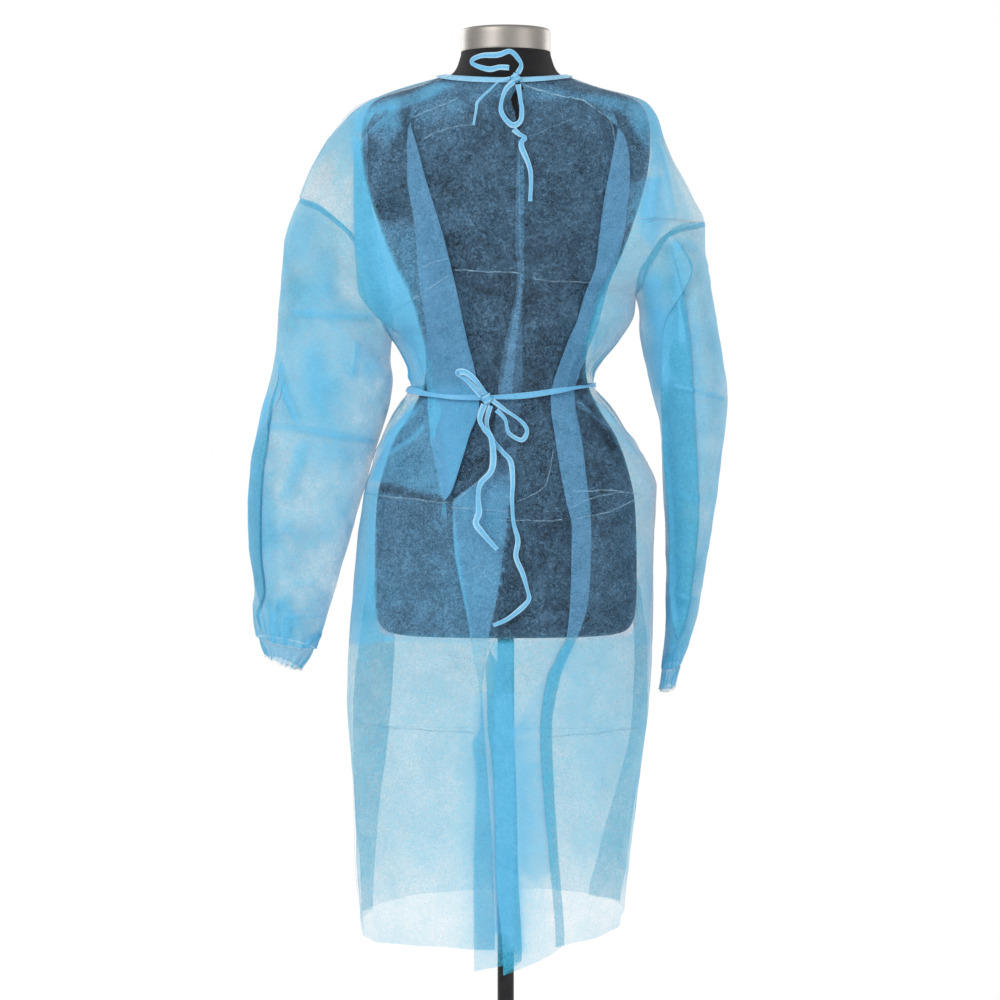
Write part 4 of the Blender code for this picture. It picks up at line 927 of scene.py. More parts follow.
def make_camera():
    data = bpy.data.cameras.new("camera")
    data.lens, data.sensor_width = CAMERA_LENS, 36.0
    data.clip_end = 40.0
    camera = bpy.data.objects.new("camera", data)
    camera.location = CAMERA_PLACE
    camera.rotation_euler = (math.radians(90 - CAMERA_PITCH), 0, 0)
    bpy.context.scene.collection.objects.link(camera)
    bpy.context.scene.camera = camera


class Nodes:
    """Short calls for making the nodes of one material."""

    def __init__(self, name):
        self.material = bpy.data.materials.new(name)
        self.material.use_nodes = True
        self.tree = self.material.node_tree
        self.shader = self.tree.nodes["Principled BSDF"]
        self.place = self.add("ShaderNodeTexCoord").outputs["Object"]

    def add(self, kind, **values):
        node = self.tree.nodes.new(kind)
        for key, value in values.items():
            setattr(node, key, value)
        return node

    def link(self, source, target):
        self.tree.links.new(source, target)

    def feed(self, socket, value):
        if isinstance(value, bpy.types.NodeSocket):
            self.link(value, socket)
        else:
            socket.default_value = value

    def math(self, operation, a, b=0.0):
        node = self.add("ShaderNodeMath", operation=operation)
        self.feed(node.inputs[0], a)
        self.feed(node.inputs[1], b)
        return node.outputs[0]

    def marks(self, *names):
        return [self.add("ShaderNodeAttribute", attribute_name=k).outputs["Fac"] for k in names]

    def stretch(self, scale):
        node = self.add("ShaderNodeMapping")
        self.link(self.place, node.inputs["Vector"])
        node.inputs["Scale"].default_value = scale
        return node.outputs[0]

    def noise(self, scale, detail=2.0, rough=0.55, distortion=0.0, vector=None):
        node = self.add("ShaderNodeTexNoise")
        self.link(vector or self.place, node.inputs["Vector"])
        node.inputs["Scale"].default_value = scale
        node.inputs["Detail"].default_value = detail
        node.inputs["Roughness"].default_value = rough
        node.inputs["Distortion"].default_value = distortion
        return node.outputs["Fac"]

    def ramp(self, value, stops):
        node = self.add("ShaderNodeValToRGB")
        self.link(value, node.inputs["Fac"])
        band = node.color_ramp
        while len(band.elements) < len(stops):
            band.elements.new(0.5)
        for element, (place, colour) in zip(band.elements, stops):
            element.position, element.color = place, (*colour, 1.0)
        return node.outputs["Color"]

    def range(self, value, low, high, to_low, to_high):
        node = self.add("ShaderNodeMapRange")
        self.link(value, node.inputs["Value"])
        keys = "From Min", "From Max", "To Min", "To Max"
        for key, number in zip(keys, (low, high, to_low, to_high)):
            node.inputs[key].default_value = number
        return node.outputs["Result"]

    def mix(self, share, a, b):
        node = self.add("ShaderNodeMix", data_type="RGBA")
        self.feed(node.inputs["Factor"], share)
        self.feed(node.inputs["A"], a)
        self.feed(node.inputs["B"], b)
        return node.outputs["Result"]

    def bump(self, height, strength, distance):
        node = self.add("ShaderNodeBump")
        self.link(height, node.inputs["Height"])
        node.inputs["Strength"].default_value = strength
        node.inputs["Distance"].default_value = distance
        self.link(node.outputs["Normal"], self.shader.inputs["Normal"])

    def finish(self, colour, bump=None, **sockets):
        """Feeds the shader, each other socket by its name with _ for a space."""
        self.link(colour, self.shader.inputs["Base Color"])
        for key, value in sockets.items():
            self.feed(self.shader.inputs[key.replace("_", " ")], value)
        if bump:
            self.bump(*bump)
        return self.material


def cloth_material(name, thin, free, thick, spread=0.15, roughness=0.7):
    """Thin spunbonded cloth. Its fibres lie in clouds, so that it is denser here and thinner
    there. Its base colour is painted greyer where it lies thin on the form, and clearer where
    light comes through: painted light that the cloth scatters and lets through. The point marks
    say what share of the light each place stops, and where a painted highlight lies."""
    n = Nodes(name)
    clouds = n.noise(30, 4.0, 0.62, 0.6)
    blotch = n.noise(190, 4.0, 0.7, 1.4)
    grain = n.noise(470, 3.0, 0.8, 2.2)
    painted_highlight, dense, off = n.marks("painted_highlight", "dense", "off")
    mixed = n.math("ADD", n.math("MULTIPLY", clouds, 0.16), n.math("MULTIPLY", blotch, 0.36))
    mixed = n.math("ADD", mixed, n.math("MULTIPLY", grain, 0.48))
    tone = n.range(mixed, 0.38, 0.62, 0.0, 1.0)
    near, away, full = (
        n.mix(tone, (*low, 1.0), (*high, 1.0)) for low, high in (thin, free, thick)
    )
    # Base colour painted by where the cloth lies: greyer on the form, clearer where light comes
    # through
    colour = n.mix(n.range(dense, 0.34, 0.9, 0.0, 1.0), n.mix(off, near, away), full)
    # Painted highlight: the mark mixes the colour toward a light blue where raised edges and crests
    # are painted as lit
    colour = n.mix(n.math("MULTIPLY", painted_highlight, 0.75), colour, (0.56, 0.82, 0.94, 1.0))
    swing = n.math("MULTIPLY", n.range(mixed, 0.38, 0.62, -1.0, 1.0),
                   n.range(off, 0.0, 1.0, spread * 1.8, spread * 1.25))
    swing = n.math("MULTIPLY", swing, n.range(dense, 0.5, 0.92, 1.0, 0.25))
    here = n.math("MINIMUM", n.math("ADD", dense, swing), 0.97)
    return n.finish(
        colour, (mixed, 0.5, 0.0009), Alpha=n.math("MAXIMUM", here, 0.03), Roughness=roughness,
        Specular_IOR_Level=0.3, Sheen_Weight=0.1, Sheen_Roughness=0.5,
    )


def crease_material():
    """The line of a packing crease: a light blue on the form, and a deeper blue painted where light
    comes through, standing in for the light that it lets through."""
    n = Nodes("packing_crease")
    patches = n.noise(420, 3.0, 0.6)
    strength, off = n.marks("strength", "off")
    # Colour painted by where the crease lies: light blue over the form, deeper blue where light
    # comes through
    colour = n.mix(off, (0.36, 0.62, 0.80, 1.0), (0.045, 0.33, 0.50, 1.0))
    here = n.math("MULTIPLY", strength, n.range(patches, 0.35, 0.65, 0.35, 0.95))
    return n.finish(colour, (patches, 0.3, 0.0004), Alpha=here, Roughness=0.6)


def thread_material():
    n = Nodes("white_thread")
    twist = n.noise(1800, 2.0, 0.6)
    colour = n.ramp(twist, [(0.3, (0.72, 0.76, 0.78)), (0.7, (0.88, 0.9, 0.91))])
    return n.finish(colour, (twist, 0.3, 0.0002), Roughness=0.8)


def jersey_material():
    """Black knitted jersey with upright ribs, counted round the form."""
    n = Nodes("form_jersey")
    turn = n.add("ShaderNodeTexGradient", gradient_type="RADIAL")
    n.link(n.place, turn.inputs["Vector"])
    rib = n.math("SINE", n.math("MULTIPLY", turn.outputs["Fac"], 2 * math.pi * JERSEY_RIBS))
    height = n.add("ShaderNodeSeparateXYZ")
    n.link(n.place, height.inputs[0])
    z = height.outputs["Z"]
    stitch = n.math("SINE", n.math("MULTIPLY", z, 2 * math.pi / JERSEY_STITCH))
    neck = n.range(z, 1.49, 1.53, 0.0, 1.0)
    relief = n.math("MULTIPLY", n.math("ADD", rib, n.math("MULTIPLY", stitch, 0.35)), neck)
    # Colour follows the ribs' relief near the neck: painted shade in the grooves, painted highlight
    # on the ribs, over an uneven tone from noise
    rib_shade_and_tone = n.math("ADD", n.math("MULTIPLY", relief, 0.22), n.noise(900, 3.0, 0.7))
    colour = n.ramp(rib_shade_and_tone, [
        (0.25, (0.004, 0.004, 0.005)), (0.6, (0.012, 0.012, 0.014)), (1.0, (0.032, 0.031, 0.034)),
    ])
    return n.finish(colour, (relief, 0.5, 0.0004), Roughness=0.88, Specular_IOR_Level=0.25,
                    Sheen_Weight=0.06)


def steel_material():
    """Brushed steel: fine lines round the cap, and a dull uneven shine."""
    n = Nodes("cap_brushed_steel")
    lines = n.noise(3.0, 6.0, 0.8, 0.0, n.stretch((6, 6, 1600)))
    wear = n.noise(40, 4.0, 0.6)
    both = n.math("ADD", n.math("MULTIPLY", lines, 0.7), n.math("MULTIPLY", wear, 0.3))
    colour = n.ramp(both, [(0.3, (0.27, 0.25, 0.228)), (0.7, (0.42, 0.39, 0.36))])
    return n.finish(colour, (lines, 0.12, 0.0002), Metallic=1.0,
                    Roughness=n.range(lines, 0.2, 0.8, 0.42, 0.56))


def stand_material(name, dark, light, roughness):
    n = Nodes(name)
    film = n.noise(70, 5.0, 0.6)
    return n.finish(
        n.ramp(film, [(0.3, dark), (0.7, light)]), (n.noise(1400, 2.0, 0.6), 0.18, 0.0002),
        Metallic=0.55, Roughness=n.range(film, 0.2, 0.8, roughness - 0.07, roughness + 0.1),
    )


def floor_material():
    n = Nodes("floor_pale")
    cloud = n.noise(3, 3.0, 0.5)
    return n.finish(n.ramp(cloud, [(0.2, (0.86,) * 3), (0.8, (0.9,) * 3)]), Roughness=0.9)


def waist_gathers(grid, angle, belt):
    """Small pleats that fan out from the belt, above and below it."""
    z = grid[..., 2]
    away = np.abs(z - belt)
    fan = angle * 23 + 2.5 * np.sin(angle * 5 + 0.7) + 1.2 * np.sin(angle * 11 + z / 40)
    pleats = 1.5 * np.sin(fan) + 0.8 * np.sin(2.3 * fan + 1)
    return pleats * np.exp(-((away / 62) ** 2)) * soft_step(0, 16, away)


def hem_waves(grid, angle):
    z = grid[..., 2]
    low = soft_step(900, 440, z)
    return low * (3.0 * np.sin(angle * 7 + 1.1) + 1.6 * np.sin(angle * 15 + z / 150))


def panel(name, stops_at, counts, paint, folds, areas, middles, front=False):
    """A panel of the gown. The middles are the hidden layers of its pleats: their first and
    last column, and by height what share of the light they stop on the form and beside it."""
    grid, out, angle = panel_grid(stops_at, counts, front)
    rise, dense = fold_relief(grid, folds)
    belt = smooth_values(BELT["z"], BELT["height"], np.degrees(np.angle(np.exp(1j * angle))))
    rise += crumple(grid) + waist_gathers(grid, angle, belt) + hem_waves(grid, angle)
    rise *= 1 - 0.95 * np.exp(-(((grid[..., 2] - belt) / 9) ** 2))
    ends = soft_step(NECK_TOP - 4, NECK_TOP - 60, grid[..., 2])
    marks = panel_marks(grid, dense, *areas)
    marks["dense"] += 0.34 * overlap(grid) * (1 - marks["off"])
    for first, last, pleat, middle in middles:
        z, hidden = grid[:, first:last, 2], marks["dense"][:, first:last]
        stands = np.clip(at(pleat, "lift", z) * 1.6 - 0.3, 0, 1)
        hidden += (by_place(middle, z, marks["off"][:, first:last]) - hidden) * stands
    grid = clear_of_form(grid + out * (rise * ends)[..., None])
    return dress(mesh_object(name, grid, paint, marks=marks), [name]), grid


# What the hidden layers of the pleats stop
MIDDLE_LEFT = table("z form free", [
    (860, 0.3, 0.3), (970, 0.6, 0.5), (1000, 0.9, 0.7), (1118, 0.88, 0.7), (1150, 0.68, 0.6),
    (1300, 0.6, 0.6), (1450, 0.55, 0.5), (1533, 0.3, 0.4),
])
MIDDLE_ARM = table("z form free", [
    (425, 0.1, 0.3), (1200, 0.1, 0.5), (1425, 0.1, 0.4), (1450, 0.42, 0.4), (1533, 0.42, 0.4),
])
MIDDLE_RIGHT = table("z form free", [
    (425, 0.4, 0.4), (800, 0.55, 0.5), (1100, 0.6, 0.6), (1300, 0.64, 0.6), (1533, 0.5, 0.5),
])
MIDDLE_SKIRT = table("z form free", [(425, 0.5, 0.5), (700, 0.5, 0.6), (860, 0.3, 0.4)])
MIDDLE_FRONT = table("z form free", [(425, 0.2, 0.2), (560, 0.16, 0.16), (860, 0.16, 0.16)])


def armhole_ring(sign):
    """The armhole's edge, from the top down the back, under the arm and up the front, and the
    number of steps down its back."""
    low, high, hole = armhole(sign)
    rows = [z for z in row_heights() if low < z < high]
    ring = [body_point(high, sign * math.pi / 2)]
    ring += [body_point(z, angle_at(z, at(hole, "x", z))) for z in rows[::-1]]
    ring += [body_point(low, sign * math.pi / 2)]
    ring += [body_point(z, angle_at(z, at(hole, "x", z), True)) for z in rows]
    return np.array(ring), len(rows) + 1


def ring_place(centre, half, depth, middle, angle, lift):
    """Points of a tube's ring, the angle counted from its outer edge over its back, and the
    ways out at them."""
    back = np.array((0, -1.0, 0))
    angle, lift = np.asarray(angle)[:, None], np.asarray(lift)[:, None]
    width = np.linalg.norm(half)
    out = unit(half / width * np.cos(angle) * depth + back * np.sin(angle) * width)
    return centre + half * np.cos(angle) + back * (np.sin(angle) * depth - middle) + out * lift, out


def ring_frame(ring):
    """Middle of a ring and the vector from it to the ring's outer edge."""
    outer = np.array((ring["outer_x"], 0, ring["outer_z"]))
    inner = np.array((ring["inner_x"], 0, ring["inner_z"]))
    return (outer + inner) / 2, (outer - inner) / 2


def even(start, end, steps):
    return [start + (end - start) * k / steps for k in range(steps)]


def sleeve_grid(sign, sleeve, pleat_from):
    """Rings of a sleeve from the armhole's edge down, and the ways out at them. The pleat's
    corners are points of each ring's back, and in the armhole they lie together on the edge."""
    first, back_steps = armhole_ring(sign)
    pleat_at = int(np.argmin(np.abs(first[:back_steps, 2] - pleat_from)))
    a, b = first[pleat_at], first[pleat_at + 1]
    corners = [a + (b - a) * share for share in PLEAT_SHARES]
    edge = list(first[: pleat_at + 1]) + corners + list(first[pleat_at + 1:])
    grid, outs = [np.array(edge)], []
    for ring in sleeve:
        centre, half = ring_frame(ring)
        folded, turned_in = (
            math.acos((ring[fold] - centre[0]) / half[0]) for fold in ("fold", "hidden")
        )
        lift = ring["lift"]
        turn = 0.012 * lift * (1 if folded > turned_in else -1)
        path = [(angle, 0.0) for angle in even(0, folded, pleat_at + 1)]
        apart = 0.012 * (1 - lift)
        path[-1] = (folded - 2 * apart, 0.0)
        path += [
            (folded - apart, TOP * lift), (folded + turn, (TOP + MIDDLE_OUT) / 2 * lift),
            (folded + apart, MIDDLE_OUT * lift), (turned_in - apart, MIDDLE_IN * lift),
            (turned_in - turn, (MIDDLE_IN + UNDER) / 2 * lift), (turned_in + apart, UNDER),
        ]
        path += [(angle, 0.0) for angle in even(turned_in, math.pi, back_steps - pleat_at)[1:]]
        path += [(angle, 0.0) for angle in even(math.pi, 2 * math.pi, len(edge) - len(path))]
        points, out = ring_place(centre, half, ring["depth"], ring["middle"], *np.array(path).T)
        grid.append(points)
        outs.append(out)
    outs = finer(np.array(outs[:1] + outs), SLEEVE_BETWEEN)
    return finer(np.array(grid), SLEEVE_BETWEEN), outs


def finer(grid, between):
    """More rows between a grid's own rows, on smooth curves through their points."""
    lines = []
    for place in np.linspace(0, len(grid) - 1, (len(grid) - 1) * between + 1):
        i = min(int(place), len(grid) - 2)
        t = place - i
        a, b = grid[i], grid[i + 1]
        before, after = grid[max(i - 1, 0)], grid[min(i + 2, len(grid) - 1)]
        lines.append(
            0.5 * (2 * a + (b - before) * t + (2 * before - 5 * a + 4 * b - after) * t**2
                   + (3 * a - before - 3 * b + after) * t**3)
        )
    return np.array(lines)


def sleeve(name, sign, table_of_rings, pleat_from, paint, folds, areas):
    grid, out = sleeve_grid(sign, table_of_rings, pleat_from)
    down = np.linspace(0, 1, len(grid))[:, None]
    rise, dense = fold_relief(grid, folds)
    front = soft_step(-12, 12, grid[..., 1])
    rise = rise * (1 - 0.4 * front) + crumple(grid, 1.2)
    turns = np.linspace(0, 2 * math.pi, grid.shape[1], endpoint=False)[None, :]
    rise += 1.3 * soft_step(0.9, 1.0, down) * np.sin(SLEEVE_GATHERS * turns)
    grid = grid + out * (rise * soft_step(0, 0.07, down))[..., None]
    cover = at(SLEEVE_COVER, "share", grid[..., 2])
    cover = cover + 1.5 * FOLD_COVER * dense * (1 - 0.6 * front)
    cover = cover + 0.1 * soft_step(0.88, 1.0, down) + zones(grid, areas) + 0.06 * clouded(grid)
    marks = marks_of(np.clip(cover, 0.1, 0.95), 1.0)
    thing = mesh_object(name, grid, paint, closed=True, marks=marks)
    return dress(thing, [name])


def cuff(name, table_of_rings, paint):
    """The elastic hem of a sleeve, its edge drawn into small gathers, and its last ring."""
    angle = np.linspace(0, 2 * math.pi, 170, endpoint=False)
    grid = finer(np.array([
        ring_place(*ring_frame(ring), ring["depth"], ring["middle"], angle, 0 * angle)[0]
        for ring in table_of_rings
    ]), CUFF_BETWEEN)
    down = np.linspace(0, 1, len(grid))[:, None]
    wave = np.sin(SLEEVE_GATHERS * angle + 0.8 * np.sin(3 * angle)) + 0.4 * np.sin(31 * angle + 1)
    grid = grid + normals(grid) * ((0.6 + 1.4 * down) * wave[None, :])[..., None]
    grid[..., 2] += 1.2 * down * np.sin(23 * angle + 0.5)[None, :]
    # Painted highlight on the outward crests of the gathers, growing toward the edge
    painted_highlight = 0.5 * down * np.clip(wave, 0, 1)[None, :]
    marks = marks_of(np.full(grid.shape[:2], CUFF_DENSE), 1.0, painted_highlight)
    thing = mesh_object(name, grid, paint, closed=True, marks=marks)
    return dress(thing, [name]), grid[-1]


def tube(name, line, radius, paint, sides=6):
    """A thin thread along a closed line of points."""
    line = np.concatenate([line, line[:1]])
    way = unit(np.gradient(line, axis=0))
    side = unit(np.cross(way, (0.3, 0.2, 0.93)))
    up = np.cross(side, way)
    turn = np.linspace(0, 2 * math.pi, sides, endpoint=False)[None, :, None]
    grid = line[:, None, :] + radius * (
        side[:, None, :] * np.cos(turn) + up[:, None, :] * np.sin(turn)
    )
    return riding(mesh_object(name, grid, paint, closed=True))


def ribbon(name, route, width, paint):
    """A flat strip of folded cloth along a route, its two edges a little raised."""
    line = finer(np.array(route, float)[:, None, :], 6)[:, 0]
    way = np.gradient(line, axis=0)
    side = unit(np.cross(way, (0.0, -1.0, 0.0)))
    out = unit(np.cross(side, way))
    across = np.array((-1, -0.86, -0.5, 0, 0.5, 0.86, 1))[None, :]
    raised = np.array((0.0, 0.55, 0.1, 0.0, 0.1, 0.55, 0.0))[None, :] * STRIP_CURL
    along = np.linspace(0, 1, len(line))[:, None] * len(line)
    uneven = 0.68 + 0.32 * np.abs(np.cos(along * 0.11 + 0.4)) + 0.05 * np.sin(along * 0.55)
    grid = (
        line[:, None, :]
        + side[:, None, :] * (across * width / 2 * uneven)[..., None]
        + out[:, None, :] * raised[..., None]
    )
    # Painted highlight along both edges and, stronger, on one side, waxing and waning along the
    # strip
    highlight_along = 0.5 + 0.5 * np.sin(along * 0.23 + 1.3)
    edges = (np.abs(across) > 0.8) * (0.5 + 0.5 * highlight_along)
    marks = strip_marks(np.clip(edges + 0.45 * highlight_along ** 2 * (across > 0), 0, 1))
    return mesh_object(name, grid, paint, marks=marks), line


def strip_marks(painted_highlight):
    return marks_of(STRIP_DENSE + 0 * painted_highlight, 0.0, painted_highlight)


def tie(name, route, width, paint, nodes=None):
    thing, line = ribbon(name, route, width, paint)
    dress(thing, nodes or [name])


def make_ties(paint):
    for name, route, width, start, far_end, lay, *nodes in (
        ("neck_tie_loop_upper", NECK_LOOP_UPPER, 7, NECK_KNOT, "knot", "hanging"),
        ("neck_tie_loop_lower", NECK_LOOP_LOWER, 7, NECK_KNOT, "knot", "hanging"),
        ("neck_tie_tail_long", NECK_TAIL_LONG, 7, NECK_TAIL_LONG[0], "bare", "hanging"),
        ("neck_tie_tail_short", NECK_TAIL_SHORT, 3.4, NECK_KNOT, "bare", "hanging"),
        ("waist_bow_left", BOW_LEFT_OUT + BOW_LEFT_BACK, 8, WAIST_KNOT, "knot", "loose",
         "waist_bow_left_under", "waist_bow_left_over"),
        ("waist_bow_right", BOW_RIGHT, 6, WAIST_KNOT, "knot", "loose"),
        ("waist_tail_short", TAIL_SHORT, 8, WAIST_KNOT, "bare", "hanging"),
        ("waist_tail_long", TAIL_LONG, 6.5, WAIST_KNOT, "bare", "hanging"),
    ):
        tie(name, route, width, paint, nodes)


def knot(name, place, size, paint):
    """A small pulled knot: a lump of strips wound over each other."""
    up = np.linspace(0.02, math.pi - 0.02, 26)[:, None]
    turn = np.linspace(0, 2 * math.pi, 44, endpoint=False)[None, :]
    ball = np.stack([
        np.sin(up) * np.cos(turn), np.sin(up) * np.sin(turn), np.cos(up) + 0 * turn,
    ], axis=-1)
    wraps = 1 + 0.10 * np.sin(5 * up + 2 * turn) + 0.07 * np.sin(3 * turn - 7 * up)
    grid = np.array(place) + ball * wraps[..., None] * np.array(size) * 0.97
    # Painted highlight on the raised wraps of the knot
    marks = strip_marks(np.clip(np.sin(5 * up + 2 * turn), 0, 1) * 0.6)
    dress(mesh_object(name, grid, paint, closed=True, marks=marks), [name])


def make_belt(paint):
    degrees = np.linspace(BELT_START, BELT_END, 260)
    wrapped = np.where(degrees > 180, degrees - 360, degrees)
    near = soft_step(75, 55, np.abs(wrapped))
    lift = BELT_SIDE_LIFT + (BELT_BACK_LIFT - BELT_SIDE_LIFT) * near
    height = smooth_values(BELT["z"], BELT["height"], wrapped)
    across = np.array((-1, -0.86, -0.45, 0, 0.45, 0.86, 1))
    raised = np.array((0.0, 0.5, 0.1, 0.0, 0.1, 0.5, 0.0))
    wide = BELT_WIDTH / 2 * (0.84 + 0.16 * np.sin(degrees / 9) + 0.05 * np.sin(degrees / 4))
    z = height[:, None] + across[None, :] * wide[:, None]
    grid, _ = lifted(z, np.radians(degrees)[:, None] + 0 * z, lift[:, None] + raised[None, :])
    # Painted highlight along the belt's two edges
    marks = strip_marks((np.abs(across) > 0.9)[None, :] * 0.5 + 0 * z)
    thing = mesh_object("waist_belt", grid, paint, marks=marks)
    dress(thing, ["waist_belt"])


def make_binding(paint):
    start = angle_at(NECK_TOP, at(EDGE_RIGHT, "x", NECK_TOP))
    end = 2 * math.pi + angle_at(NECK_TOP, at(EDGE_LEFT, "x", NECK_TOP))
    angle = np.linspace(start, end, 220)[None, :]
    down = np.array((0.0, 0.12, 0.35, 0.65, 0.88, 1.0))[:, None]
    fall = SHOULDER_SLOPE + (1 - SHOULDER_SLOPE) * np.cos(angle) ** 2
    raised = np.array((0.0, 0.4, 0.2, 0.1, 0.35, 0.0))[:, None]
    z = NECK_TOP - down * BINDING_WIDTH * fall
    grid, out = lifted(z, angle + 0 * z, BINDING_LIFT + raised + 0 * z)
    # Painted highlight along the binding's two edges, and half as much over its middle
    marks = strip_marks(np.where((down < 0.1) | (down > 0.9), 0.7, 0.35) + 0 * z)
    thing = mesh_object("neck_binding", grid, paint, marks=marks)
    dress(thing, ["neck_binding"])
    stitches = make_stitches(grid[3], out[3])


def make_stitches(line, out):
    """Short white stitches along the binding, over each shoulder."""
    points, faces = [], []
    for i in range(4, len(line) - 4, 3):
        if not 52 < abs(line[i][0]) < 88:
            continue
        a, b = line[i] + out[i] * 0.5, line[i + 1] + out[i + 1] * 0.5
        way = unit(b - a)
        side = np.cross(out[i], way)
        start = len(points)
        for place in (a - way * 0.3, a, b, b + way * 0.3):
            for turn in np.linspace(0, 2 * math.pi, 6, endpoint=False):
                across = side * math.cos(turn) + out[i] * math.sin(turn)
                points.append(place + STITCH_RADIUS * across)
        number = start + np.arange(24).reshape(4, 6)
        faces += quads(number, True) + [number[0, ::-1].tolist(), number[3].tolist()]
    return riding(new_piece("neck_stitches", points, faces, thread_material()))


def allowance(name, line, out, toward, paint):
    """The narrow double edge inside a seam, from the seam's line in over the cloth."""
    side = unit(np.cross(out, np.gradient(line, axis=0)) * toward)
    grid = np.stack([line + side * SEAM_WIDTH * k / 3 - out * 0.7 for k in range(4)], axis=1)
    marks = marks_of(np.full(grid.shape[:2], SEAM_DENSE), SEAM_OFF)
    return riding(mesh_object(name, clear_of_form(grid, 1.4), paint, marks=marks))


def seam_of_armhole(name, sign, paint):
    low, high, hole = armhole(sign)
    rows = np.linspace(low, high, 60)[1:-1]
    back = [(z, angle_at(z, at(hole, "x", z))) for z in rows[::-1]]
    front = [(z, angle_at(z, at(hole, "x", z), True)) for z in rows]
    turn = sign * math.pi / 2
    places = [(high, turn)] + back + [(low, turn)] + front + [(high, turn)]
    z, angle = np.array(places).T
    line, out = lifted(z, angle, 0 * z)
    smooth = out.copy()
    for _ in range(3):
        smooth[1:-1] = (smooth[:-2] + smooth[1:-1] + smooth[2:]) / 3
    return allowance(name, line, unit(smooth), sign, paint)


def seam_of_side(name, sign, low, high, paint):
    z = np.linspace(low, high, 90)
    z = z + HEM_SIDE[sign] * hem_share(z)
    line, out = lifted(z, sign * math.pi / 2 + 0 * z, 0 * z)
    return allowance(name, line, out, sign, paint)


def make_torso(paint):
    heights = np.concatenate([
        np.linspace(FORM_LOW, 840, 12), np.linspace(846, 1480, 90),
        np.linspace(1486, FORM_TOP, 30),
    ])
    angle = np.linspace(0, 2 * math.pi, 128, endpoint=False)
    grid = []
    for z in heights:
        x, y = superellipse(0, at(FORM, "half", z), at(FORM, "back", z), at(FORM, "front", z),
                            at(FORM, "power", z), angle)
        grid.append(np.stack([x, y, np.full_like(x, z)], axis=-1))
    low, high = grid[0], grid[-1]
    inner = [low * (s, s, 1) for s in (0.02, 0.5, 0.97)]
    grid = np.array(inner + grid + [high * (s, s, 1) for s in (0.97, 0.5, 0.02)])
    dress(mesh_object("form_torso", grid, paint, closed=True), ["form_torso"])


def make_cap():
    """The steel cap of the neck, turned round its axis."""
    side = [(CAP_RADIUS, z) for z in (1590.6, 1586, 1580, 1574, 1568, 1565.8)]
    top = [(0.05, CAP_TOP), (30, CAP_TOP), (52, CAP_TOP), (54, 1594.9), (55.6, 1594.4),
           (57, 1593.3), (57.7, 1592)]
    under = [(57.8, 1565.3), (57.3, CAP_LOW), (54, CAP_LOW), (30, CAP_LOW), (0.05, CAP_LOW)]
    radius, z = np.array(top + side + under).T[..., None]
    turn = np.linspace(0, 2 * math.pi, 128, endpoint=False)[None, :]
    grid = np.stack([radius * np.cos(turn), radius * np.sin(turn), z + 0 * turn], axis=-1)
    dress(mesh_object("form_neck_cap", grid, steel_material(), closed=True), ["form_neck_cap"])


def paint_stand():
    for node, paint in (
        ("form_pole", stand_material("pole_dark_metal", *POLE_COLOURS, 0.36)),
        ("form_base", stand_material("base_dark_metal", *BASE_COLOURS, 0.45)),
    ):
        materials = bpy.data.objects[node].data.materials
        materials.clear()
        materials.append(paint)


def make_stage():
    bpy.ops.mesh.primitive_circle_add(vertices=96, radius=FLOOR_RADIUS, fill_type="NGON")
    floor = bpy.context.object
    floor.name = "floor"
    floor.data.materials.append(floor_material())
    floor.location.z = -FLOOR_UNDER


def area_light(name, place, size, power):
    """A square lamp that faces the middle of the gown."""
    data = bpy.data.lights.new(name, "AREA")
    data.shape, data.size, data.energy = "SQUARE", size, power
    lamp = bpy.data.objects.new(name, data)
    lamp.location = place
    way = Vector((0, 0, 1.0)) - Vector(place)
    lamp.rotation_euler = way.to_track_quat("-Z", "Y").to_euler()
    bpy.context.scene.collection.objects.link(lamp)


def make_light():
    world = bpy.data.worlds.new("studio")
    bpy.context.scene.world = world
    world.use_nodes = True
    tree = world.node_tree
    sky = tree.nodes["Background"]
    sky.inputs["Color"].default_value = (1, 1, 1, 1)
    path = tree.nodes.new("ShaderNodeLightPath")
    strength = tree.nodes.new("ShaderNodeMapRange")
    strength.inputs["To Min"].default_value = WORLD_LIGHT
    strength.inputs["To Max"].default_value = 1.0
    tree.links.new(path.outputs["Is Camera Ray"], strength.inputs["Value"])
    tree.links.new(strength.outputs["Result"], sky.inputs["Strength"])
    area_light("key", (-1.9, -2.6, 2.7), 1.6, 62)
    area_light("fill", (2.4, -2.2, 1.6), 1.8, 26)
    area_light("back_left", (-1.8, 2.2, 2.2), 1.4, 30)
    area_light("back_right", (2.0, 2.0, 1.9), 1.4, 26)


def set_view():
    scene = bpy.context.scene
    scene.view_settings.view_transform = "Standard"
    scene.cycles.transparent_max_bounces = 48
    scene.cycles.max_bounces = 10


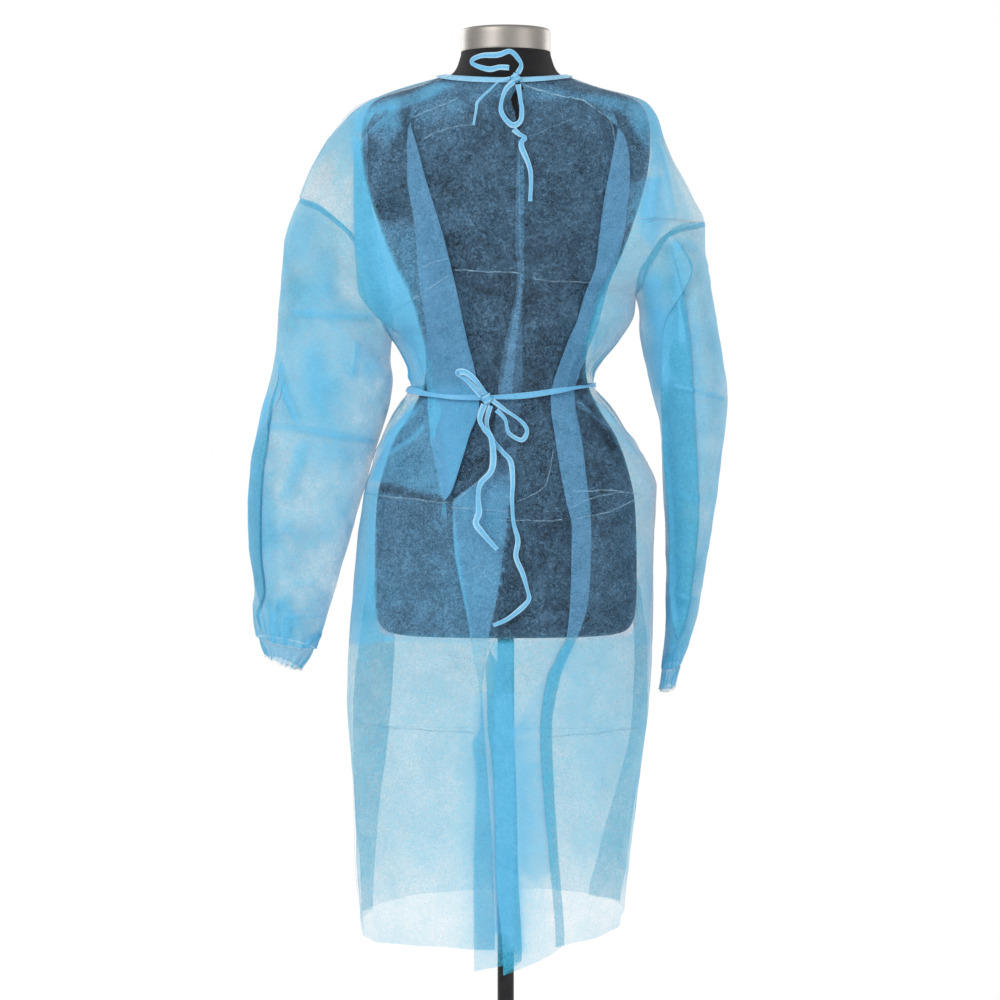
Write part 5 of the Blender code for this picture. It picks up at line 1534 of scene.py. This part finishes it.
def main():
    cloth = cloth_material("gown_nonwoven", GOWN_ON_FORM, GOWN_FREE, GOWN_THICK)
    strips = cloth_material("tie_nonwoven", TIE_COLOURS, TIE_COLOURS, TIE_COLOURS, 0.05, 0.55)
    hems = cloth_material("cuff_nonwoven", CUFF_COLOURS, CUFF_COLOURS, CUFF_COLOURS, 0.08)
    thread = thread_material()
    make_ties(strips)
    knot("neck_tie_knot", NECK_KNOT, (6, 4.5, 6), strips)
    knot("waist_knot", WAIST_KNOT, (6.5, 4.2, 7.5), strips)
    left, left_grid = panel(
        "panel_back_left", back_left_stops, COUNTS_LEFT, cloth, BACK_FOLDS,
        (BACK_ZONES, BESIDE_ZONES),
        [(30, 36, ARM_FOLD, MIDDLE_ARM), (69, 77, BACK_LEFT_PLEAT, MIDDLE_LEFT)],
    )
    right, right_grid = panel(
        "panel_back_right", back_right_stops, COUNTS_RIGHT, cloth, BACK_FOLDS,
        (BACK_ZONES, BESIDE_ZONES),
        [(44, 52, BACK_RIGHT_PLEAT, MIDDLE_RIGHT), (89, 96, SKIRT_PLEAT, MIDDLE_SKIRT)],
    )
    front, front_grid = panel(
        "panel_front", front_stops, COUNTS_FRONT, cloth, FRONT_FOLDS, (FRONT_ZONES, []),
        [(20, 29, FRONT_RIGHT_FOLD, MIDDLE_FRONT), (148, 157, FRONT_LEFT_FOLD, MIDDLE_FRONT)], True,
    )
    crease = crease_material()
    back_lines = make_packing_creases(
        "packing_creases_back", (left_grid, right_grid), PACK_LINES, crease)
    front_lines = make_packing_creases(
        "packing_creases_front", (front_grid,), PACK_LINES_FRONT, crease, True)
    arm_left = sleeve("sleeve_left", -1, SLEEVE_LEFT, 1367, cloth, SLEEVE_LEFT_FOLDS,
                      SLEEVE_LEFT_ZONES)
    arm_right = sleeve("sleeve_right", 1, SLEEVE_RIGHT, 1332, cloth, SLEEVE_RIGHT_FOLDS,
                       SLEEVE_RIGHT_ZONES)
    seams = [
        seam_of_armhole("seam_armhole_left", -1, cloth),
        seam_of_armhole("seam_armhole_right", 1, cloth),
        seam_of_side("seam_side_left", -1, HEM, UNDERARM_LEFT, cloth),
        seam_of_side("seam_side_right", 1, HEM, UNDERARM_RIGHT, cloth),
        seam_of_side("seam_shoulder_left", -1, ARM_TOP_LEFT, 1526, cloth),
        seam_of_side("seam_shoulder_right", 1, ARM_TOP_RIGHT, 1526, cloth),
    ]
    for name, table_of_rings, width, arm in (
        ("cuff_left", CUFF_LEFT, 0.22, "sleeve_left"),
        ("cuff_right", CUFF_RIGHT, 0.18, "sleeve_right"),
    ):
        thing, end = cuff(name, table_of_rings, hems)
        elastic = tube(name + "_elastic", end, ELASTIC_RADIUS, thread)
    make_binding(strips)
    make_belt(strips)
    make_torso(jersey_material())
    make_cap()
    paint_stand()


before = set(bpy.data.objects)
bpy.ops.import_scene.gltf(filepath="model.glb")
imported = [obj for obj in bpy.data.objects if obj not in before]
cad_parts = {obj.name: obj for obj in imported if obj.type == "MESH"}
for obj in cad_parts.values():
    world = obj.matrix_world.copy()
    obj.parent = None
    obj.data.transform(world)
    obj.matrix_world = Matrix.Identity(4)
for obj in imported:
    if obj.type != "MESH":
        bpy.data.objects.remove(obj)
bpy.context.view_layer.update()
make_camera()
main()
make_stage()
make_light()
set_view()
